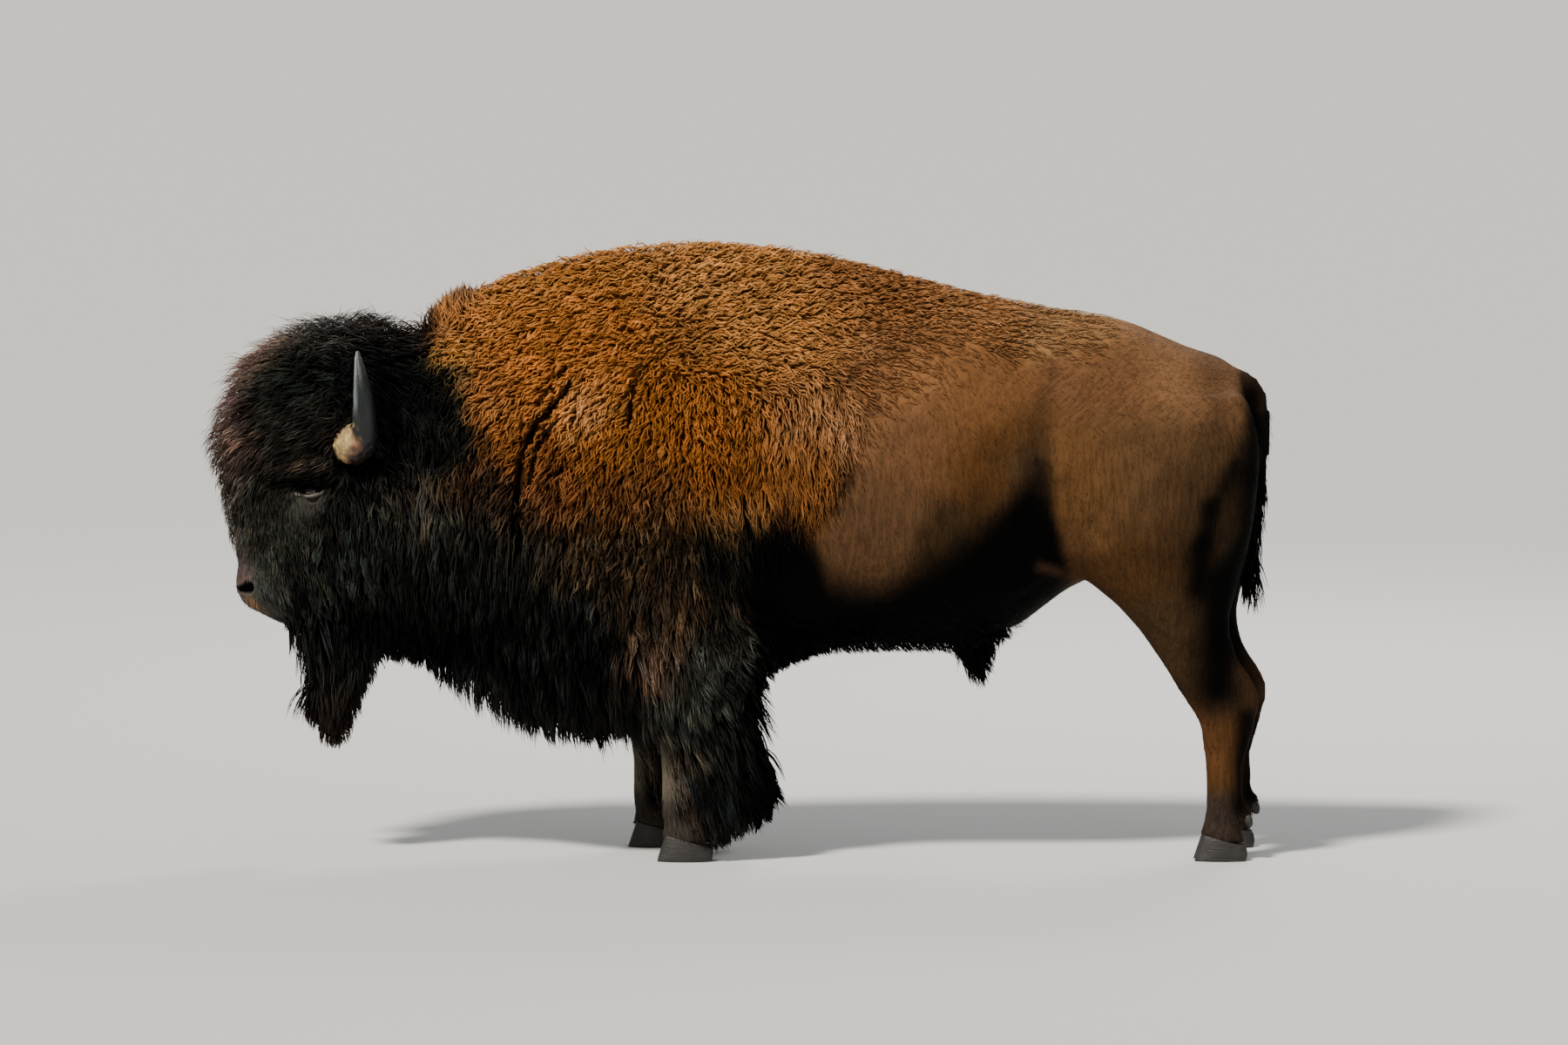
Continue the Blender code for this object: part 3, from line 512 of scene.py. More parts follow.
def solid(*names):
    """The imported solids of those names, their loose triangles welded."""
    mesh = bmesh.new()
    for name in names:
        mesh.from_mesh(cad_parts[name].data)
    bmesh.ops.remove_doubles(mesh, verts=mesh.verts, dist=1e-5)
    return mesh


def remeshed(mesh, size):
    """One closed surface round everything in the mesh, in quads of about that size."""
    data = finished(mesh, "flesh")
    piece = linked("flesh", data)
    remesh = piece.modifiers.new("Remesh", "REMESH")
    remesh.mode = "VOXEL"
    remesh.voxel_size = size
    graph = bpy.context.evaluated_depsgraph_get()
    made = bpy.data.meshes.new_from_object(piece.evaluated_get(graph))
    bpy.data.objects.remove(piece)
    bpy.data.meshes.remove(data)
    return made


def read(items, name, width, kind=float):
    """What every vertex, edge or face says under that name, one row for each."""
    flat = np.empty(len(items) * width, kind)
    items.foreach_get(name, flat)
    return flat.reshape(-1, width)


def places(data):
    return read(data.vertices, "co", 3)


def normals(data):
    return read(data.vertices, "normal", 3)


def edges(data):
    return read(data.edges, "vertices", 2, int)


def put(data, points):
    """Moves every vertex to its place."""
    data.vertices.foreach_set("co", points.ravel())
    data.update()


def eased(points, links, weight):
    """Each point moved by weight towards the middle of its neighbours."""
    a, b = links.T
    count = np.bincount(links.ravel(), minlength=len(points))[:, None]
    total = np.empty_like(points)
    for k in range(3):
        total[:, k] = np.bincount(a, points[b, k], len(points))
        total[:, k] += np.bincount(b, points[a, k], len(points))
    return points + weight * (total / np.maximum(count, 1) - points)


tips = remeshed(solid(*FLESH, *HANGING), FORM_QUADS)  # the form that the hair fills
flesh = remeshed(solid(*FLESH), FLESH_QUADS)
ground = places(flesh)
links = edges(flesh)
depth = coat_at(ground)["depth"][:, None]
for _ in range(SINKINGS):
    ground = ground - normals(flesh) * depth / SINKINGS
    ground = eased(ground, links, np.clip(depth * SMOOTHER, LEAST_SMOOTH, MOST_SMOOTH))
    put(flesh, ground)
print("sunk by", round(float(depth.min()), 4), "to", round(float(depth.max()), 3), "m")

# %% [markdown]
# The forelegs need their true form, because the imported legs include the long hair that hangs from
# them. A slim leg of forearm, knee, cannon, fetlock and coronet is lofted and welded in, with the
# coronets of all four feet, the end of the tail, the ears, the stump of the sheath and the pads
# that carry the hind dewclaws, before the last remesh. The remesh leaves steps, so the surface is
# smoothed and swelled back by turns, which takes out the steps and keeps the form.

# %% Forelegs, ears, tail and sheath
FORELEG = [
    # x, y, z, half front to back, half side to side
    (-0.1, -0.19, 0.8, 0.12, 0.065),
    (-0.1, -0.19, 0.7, 0.108, 0.07),
    (-0.12, -0.186, 0.6, 0.088, 0.064),
    (-0.15, -0.18, 0.5, 0.066, 0.053),
    (-0.185, -0.175, 0.415, 0.053, 0.047),
    (-0.196, -0.172, 0.37, 0.05, 0.046),
    (-0.198, -0.17, 0.325, 0.041, 0.039),
    (-0.199, -0.168, 0.25, 0.034, 0.031),
    (-0.197, -0.167, 0.175, 0.036, 0.033),
    (-0.191, -0.166, 0.137, 0.042, 0.039),
    (-0.184, -0.165, 0.105, 0.042, 0.041),
    (-0.174, -0.165, 0.078, 0.058, 0.054),
    (-0.171, -0.165, 0.066, 0.064, 0.058),
]
FEET = {
    # name: front of the hoof, its length, its middle across
    "fore_left": (-0.2467, 0.1579, -0.165),
    "fore_right": (-0.3367, 0.1579, 0.165),
    "hind_left": (1.3151, 0.1502, -0.155),
    "hind_right": (1.3551, 0.1502, 0.155),
}
CORONET = [
    # behind the front of the hoof, z, half front to back, half side to side
    (0.082, 0.125, 0.042, 0.039),
    (0.078, 0.090, 0.057, 0.052),
    (0.079, 0.072, 0.061, 0.057),
    (0.094, 0.048, 0.056, 0.052),
]
SHEATH, SHEATH_RADII = (0.685, 0, 0.62), (0.055, 0.030, 0.075)
CLAW_PADS, PAD_RADII = ((1.458, -0.155, 0.130), (1.498, 0.155, 0.130)), (0.026, 0.036, 0.024)
TAIL_END = [
    # x, y, z, half front to back, half side to side
    (1.512, 0, 1.16, 0.015, 0.014),
    (1.499, 0, 1.06, 0.023, 0.019),
    (1.487, 0, 0.96, 0.026, 0.022),
    (1.478, 0, 0.87, 0.024, 0.022),
    (1.478, 0, 0.78, 0.012, 0.012),
]
SMOOTHINGS = (0.5, -0.45, 0.5, -0.45, 0.4)

mesh = bmesh.new()
loft(mesh, FORELEG)
mirrored(mesh, FAR_FORE_SHIFT)
for front, _, middle in FEET.values():
    loft(mesh, [(front + back, middle, *rest) for back, *rest in CORONET])
ball(mesh, SHEATH, SHEATH_RADII)
loft(mesh, TAIL_END)
for pad in CLAW_PADS:
    ball(mesh, pad, PAD_RADII)
for name in EARS:
    mesh.from_mesh(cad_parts[name].data)
mesh.from_mesh(flesh)
skin = remeshed(mesh, SKIN_QUADS)
ground = places(skin)
links = edges(skin)
for weight in SMOOTHINGS:
    ground = eased(ground, links, weight)
put(skin, ground)
print("the skin has", len(skin.polygons), "quads")

# %% [markdown]
# Bone and muscle show through the short coat of the hindquarters and the face. Each is a stroke on
# the skin: a line from one landmark to another, how far it reaches to either side, and how high it
# stands. Hook bone, flank hollow, thigh and hamstring are what a modeller would press into clay.

# %% Bone and muscle under the skin
RELIEF = {
    # name: (from, to, reach, height), on the left side
    "hook bone": ((0.955, -0.29, 1.345), (0.985, -0.3, 1.31), 0.05, 0.014),
    "hip to hook": ((0.985, -0.24, 1.42), (1.25, -0.22, 1.38), 0.05, 0.008),
    "top of the loin": ((0.74, 0, 1.66), (1.36, 0, 1.42), 0.11, 0.016),
    "pin bone": ((1.43, -0.14, 1.35), (1.46, -0.13, 1.31), 0.06, 0.007),
    "loin hollow": ((0.74, -0.3, 1.36), (0.88, -0.29, 1.3), 0.07, -0.014),
    "hollow before the thigh": ((0.85, -0.33, 1.17), (0.835, -0.33, 0.92), 0.055, -0.022),
    "front of the thigh": ((0.94, -0.32, 1.27), (0.915, -0.32, 1.12), 0.032, 0.014),
    "front of the thigh, low": ((0.915, -0.32, 1.12), (0.93, -0.32, 0.95), 0.032, 0.013),
    "stifle": ((0.965, -0.31, 0.9), (1, -0.29, 0.82), 0.05, 0.012),
    "flank fold": ((0.985, -0.26, 0.857), (0.8, -0.27, 0.775), 0.022, 0.014),
    "under the flank fold": ((0.97, -0.24, 0.8), (0.84, -0.25, 0.735), 0.03, -0.01),
    "thigh muscle": ((1.13, -0.32, 1.16), (1.12, -0.31, 0.9), 0.085, 0.01),
    "hamstring groove, high": ((1.43, -0.18, 1.11), (1.372, -0.21, 1.01), 0.018, -0.013),
    "hamstring groove": ((1.372, -0.21, 1.01), (1.344, -0.22, 0.9), 0.018, -0.014),
    "hamstring groove, low": ((1.344, -0.22, 0.9), (1.318, -0.22, 0.78), 0.02, -0.012),
    "hamstring, high": ((1.448, -0.16, 1.21), (1.433, -0.18, 1.056), 0.022, 0.008),
    "hamstring": ((1.433, -0.18, 1.056), (1.395, -0.2, 0.93), 0.022, 0.01),
    "hamstring, low": ((1.395, -0.2, 0.93), (1.4, -0.18, 0.78), 0.022, 0.009),
    "upper thigh groove": ((1.28, -0.26, 1.3), (1.24, -0.29, 1.05), 0.028, -0.006),
    "gaskin muscle": ((1.18, -0.25, 0.78), (1.26, -0.22, 0.62), 0.05, 0.01),
    "before the great tendon": ((1.375, -0.21, 0.66), (1.425, -0.2, 0.53), 0.014, -0.01),
    "great tendon": ((1.42, -0.18, 0.68), (1.475, -0.17, 0.5), 0.012, 0.005),
    "hock joint": ((1.405, -0.21, 0.44), (1.425, -0.21, 0.4), 0.028, 0.006),
    "tendon of the hind cannon": ((1.455, -0.16, 0.37), (1.445, -0.16, 0.15), 0.03, 0.014),
    "front of the hind cannon": ((1.345, -0.16, 0.34), (1.355, -0.16, 0.17), 0.03, 0.008),
    "hind cannon groove": ((1.425, -0.2, 0.36), (1.415, -0.2, 0.19), 0.007, -0.005),
    "hind fetlock": ((1.405, -0.19, 0.135), (1.42, -0.19, 0.13), 0.022, 0.004),
    "fore cannon groove": ((-0.185, -0.198, 0.3), (-0.18, -0.198, 0.18), 0.007, -0.005),
    "brow": ((-1.215, -0.19, 1.12), (-1.325, -0.17, 1.112), 0.022, 0.019),
    "furrow under the brow": ((-1.2, -0.18, 1.085), (-1.34, -0.15, 1.086), 0.012, -0.011),
    "cheekbone": ((-1.19, -0.18, 1.03), (-1.34, -0.14, 0.94), 0.024, 0.009),
    "pouch under the eye": ((-1.195, -0.175, 1.012), (-1.275, -0.165, 0.995), 0.017, 0.011),
    "crease under the pouch": ((-1.17, -0.18, 0.968), (-1.27, -0.16, 0.96), 0.01, -0.007),
    "tear groove": ((-1.292, -0.15, 1.048), (-1.345, -0.14, 0.998), 0.009, -0.007),
    "side of the nose": ((-1.36, -0.13, 0.93), (-1.44, -0.09, 0.85), 0.03, -0.01),
    "muzzle swelling": ((-1.37, -0.11, 0.8), (-1.4, -0.1, 0.75), 0.04, 0.012),
    "corner of the mouth": ((-1.285, -0.12, 0.735), (-1.275, -0.12, 0.7), 0.018, -0.014),
    "behind the mouth": ((-1.265, -0.13, 0.77), (-1.255, -0.12, 0.69), 0.022, -0.012),
    "jaw": ((-1.2, -0.14, 0.76), (-1.1, -0.16, 0.84), 0.04, 0.01),
}


def folded(points):
    """The points on the left side, and the side each came from."""
    side = np.where(points[:, 1] > 0, RIGHT, LEFT)
    return points * np.stack((np.ones(len(side)), -side, np.ones(len(side))), 1), side


def relief(points):
    """How far bone and muscle lift each point of the skin."""
    left = as_seen(near_side(points))
    lift = np.zeros(len(points))
    for a, b, reach, height in RELIEF.values():
        lift += height * bell(to_stroke(left, a, b) / reach)
    return lift


ground = places(skin)
ground += normals(skin) * relief(ground)[:, None]
put(skin, ground)
print(len(RELIEF), "forms of bone and muscle")

# %% [markdown]
# Lids, nostrils and lips need a finer mesh than the flank does, so only the faces near them are
# subdivided, eased, and subdivided again. This keeps the skin one mesh of modest size.

# %% Finer mesh round the eyes and the muzzle
EYE = np.array((-1.247, -0.148, 1.074))
EYE_RADIUS = 0.0205
MUZZLE = np.array((-1.46, -0.03, 0.77))
EASINGS = (0.5, -0.40, 0.5, -0.40)  # smoothed and swelled back by turns, as before
MUZZLE_REACHES, EYE_REACHES = (0.150, 0.120), (0.085, 0.060, 0.045)


def refined(data, middle, reaches):
    """Halves the faces within each reach of a place, on both sides, and eases them."""
    for reach in reaches:
        mesh = bmesh.new()
        mesh.from_mesh(data)
        mesh.verts.index_update()
        left, _ = folded(np.array([vertex.co for vertex in mesh.verts]))
        close = away_from(left, middle) < reach
        wanted = [edge for edge in mesh.edges if close[edge.verts[0].index]]
        bmesh.ops.subdivide_edges(mesh, edges=wanted, cuts=1, use_grid_fill=True)
        mesh.to_mesh(data)
        mesh.free()
        points = places(data)
        left, _ = folded(points)
        weight = ease(away_from(left, middle), reach * 1.15, reach * 0.9)
        for push in EASINGS:
            points = eased(points, edges(data), push * weight[:, None])
        put(data, points)


refined(skin, MUZZLE, MUZZLE_REACHES)
refined(skin, EYE, EYE_REACHES)
print("the skin now has", len(skin.polygons), "faces")

# %% [markdown]
# ### Eyes, nostrils and mouth
# An eyelid is skin drawn over a ball. Round each eye the skin is lifted onto a sphere a little
# larger than the eyeball, and inside an almond it drops behind it, so the ball shows between two
# rims that have real thickness. A ridge runs under the lower lid and past both its corners, with a
# painted highlight along it. The nostril is a comma-shaped pit with a raised rim, painted black
# inside as painted shade, and the mouth a groove between two soft lips.

# %% Lids, nostrils and lips
LID = 0.0034  # how far the lids stand off the eyeball
SLIT_LONG, SLIT_UP, SLIT_DOWN = 0.0220, 0.0060, 0.0070  # half its length, and its two bows
RIDGE_LONG, RIDGE_BELOW = 0.042, 0.0115  # half the ridge's length, and how far it bows down
RIDGE_HIGH, RIDGE_WIDE = 0.0022, 0.0026
BEHIND = 0.02  # skin further behind the eyeball's middle than this stays as it is
LID_ROLL = (0.0016, 0.0030, 0.0022)  # height, how far from the slit, and reach
LID_FOLD, SECOND_FOLD = (-0.0030, 0.0090, 0.0024), (-0.0018, 0.0165, 0.0026)
EYE_CREASES = [
    # from, to (back, up and out from the eyeball), depth, reach
    ((-0.017, -0.001, 0), (-0.040, -0.012, 0), 0.005, 0.0032),
    ((0.017, 0.0, 0), (0.036, 0.003, 0), 0.004, 0.003),
]
UNDER_BALL = 0.004  # how far the skin between the lids lies inside the eyeball
RIM_OUTER, RIM_INNER = 0.0012, -0.0008  # the lid's rim falls away between these distances
DRAWN, FREE = 0.0225, 0.040  # the skin follows the eyeball up to the first, less so to the second
SLIT_RISES = np.array((1.0, -0.34, 0.17))  # the way the slit runs, towards its rear corner
eye_out = unit(np.array((-0.34, -1.0, 0.10)))
eye_back = unit(SLIT_RISES - eye_out * (SLIT_RISES @ eye_out))
eye_up = np.cross(eye_back, eye_out)
eye_up = eye_up * np.sign(eye_up[2])


def around_eye(left):
    """Coordinates about the eyeball: back along the slit, up across it, and out of the head."""
    away = left - EYE
    return away @ eye_back, away @ eye_up, away @ eye_out


def lid_edge(back, up):
    """Distance outside the almond between the lids, negative between them."""
    bow = 1 - np.clip(np.abs(back) / SLIT_LONG, 0, 1) ** 2
    edge = np.where(up > 0, up - SLIT_UP * bow, -up - SLIT_DOWN * bow)
    return np.maximum(edge, (np.abs(back) - SLIT_LONG) * 0.8)


def to_ridge(back, up):
    """Distance to the pale ridge under the lower lid, which runs on past both corners."""
    bow = 1 - np.clip(np.abs(back) / RIDGE_LONG, 0, 1) ** 2
    away = np.abs(up + RIDGE_BELOW * bow)
    return np.hypot(away, np.maximum(np.abs(back) - RIDGE_LONG, 0))


def before_eye(out):
    """1 from the eyeball's middle outwards, 0 well behind it."""
    return ease(out, -BEHIND, 0.0)


def swelling(edge, height, place, reach):
    """A roll or a fold that runs round the slit at that distance."""
    return height * bell((edge - place) / reach)


def lidded(left):
    """The skin round the eye, drawn over the eyeball and parted between the lids."""
    back, up, out = around_eye(left)
    across = np.hypot(back, up)
    edge = lid_edge(back, up)
    front = before_eye(out)
    dome = np.sqrt(np.maximum((EYE_RADIUS + LID) ** 2 - across**2, 0))
    dome = np.maximum(dome, out - BEHIND)
    under = np.sqrt(np.maximum((EYE_RADIUS - UNDER_BALL) ** 2 - across**2, 0))
    roll = swelling(edge, *LID_ROLL)
    fold = swelling(edge, *LID_FOLD) * (across < 0.05)
    second = swelling(edge, *SECOND_FOLD)
    covered = dome + roll + fold + second
    target = under + (covered - under) * ease(edge, RIM_INNER, RIM_OUTER)
    near = ease(across, FREE, DRAWN) * front
    flat = np.stack((back, up, np.zeros(len(up))), 1)
    crease = np.zeros(len(up))
    for a, b, deep, reach in EYE_CREASES:
        crease -= deep * bell(to_stroke(flat, a, b) / reach)
    crease *= front
    folds = (fold + second) * (1 - near) * ease(across, 0.055, 0.030) * front
    ridge = RIDGE_HIGH * bell(to_ridge(back, up) / RIDGE_WIDE) * front
    shift = (target - out) * near + crease + folds + ridge
    return left + shift[:, None] * eye_out


NOSTRIL_BACK, NOSTRIL_FRONT = (-1.441, -0.062, 0.789), (-1.470, -0.042, 0.780)
NOSTRIL_SLIM, NOSTRIL_WIDER = 0.0075, 0.0115  # half its height in front, and how much more behind
NOSTRIL_FROM, NOSTRIL_LONG = -1.474, 0.0355  # where it starts to widen, and over what length
NOSTRIL_DEEP, NOSTRIL_RIM = 0.030, 0.0032
RIM_AT, RIM_REACH = 1.42, 0.26  # where 1 is the nostril's edge
NOSTRILS_END = -1.40  # both nostrils lie ahead of this x
LIP_GAP_DEEP, LIP_GAP_REACH = 0.006, 0.004
LIPS_FULL, LIPS_AT, LIPS_REACH = 0.0022, 0.011, 0.005  # height, distance from the gap, reach
nostril_in = unit(np.array((0.62, 0.62, 0.12)))
lips_in = (0.5, 0.5, 0)
MOUTH = [(-1.480, 0.0, 0.742), (-1.455, -0.050, 0.738), (-1.415, -0.085, 0.722)]
MOUTH += [(-1.350, -0.110, 0.708), (-1.300, -0.118, 0.712), (-1.285, -0.120, 0.716)]


def to_nostril(left):
    """Distance from the middle of the nostril, 1 at its rim."""
    t = np.clip((left[:, 0] - NOSTRIL_FROM) / NOSTRIL_LONG, 0, 1)
    gap = to_stroke(left, NOSTRIL_BACK, NOSTRIL_FRONT, (1, 0.25, 1))
    return gap / (NOSTRIL_SLIM + NOSTRIL_WIDER * t)


def muzzled(left):
    """The skin of the muzzle with its nostril sunk in and its lips parted by a groove."""
    gap = to_nostril(left)
    ahead = ease(left[:, 1], -0.012, -0.022) * ease(left[:, 2], 0.72, 0.74)
    inside = ease(gap, 1.12, 0.72) * ahead
    rim = bell((gap - RIM_AT) / RIM_REACH) * ahead
    left = left + (NOSTRIL_DEEP * inside - NOSTRIL_RIM * rim)[:, None] * nostril_in
    for a, b in zip(MOUTH, MOUTH[1:]):
        line = to_stroke(left, a, b, (1, 0.4, 1))
        left = left + np.outer(LIP_GAP_DEEP * bell(line / LIP_GAP_REACH), lips_in)
        left = left - np.outer(LIPS_FULL * bell((line - LIPS_AT) / LIPS_REACH), lips_in)
    return left


ground, side = folded(places(skin))
near_eye = away_from(ground, EYE) < 0.075
ground[near_eye] = lidded(ground[near_eye])
near_nose = (ground[:, 0] < -1.26) & (ground[:, 2] < 0.88)
# the nostril's pit, later painted black as painted shade
in_pit = ease(to_nostril(ground), 1.12, 0.90) * (ground[:, 0] < NOSTRILS_END)
ground[near_nose] = muzzled(ground[near_nose])
ground[:, 1] *= -side
put(skin, ground)
print("lids stand", LID * 1000, "mm off an eyeball of", EYE_RADIUS * 2000, "mm")
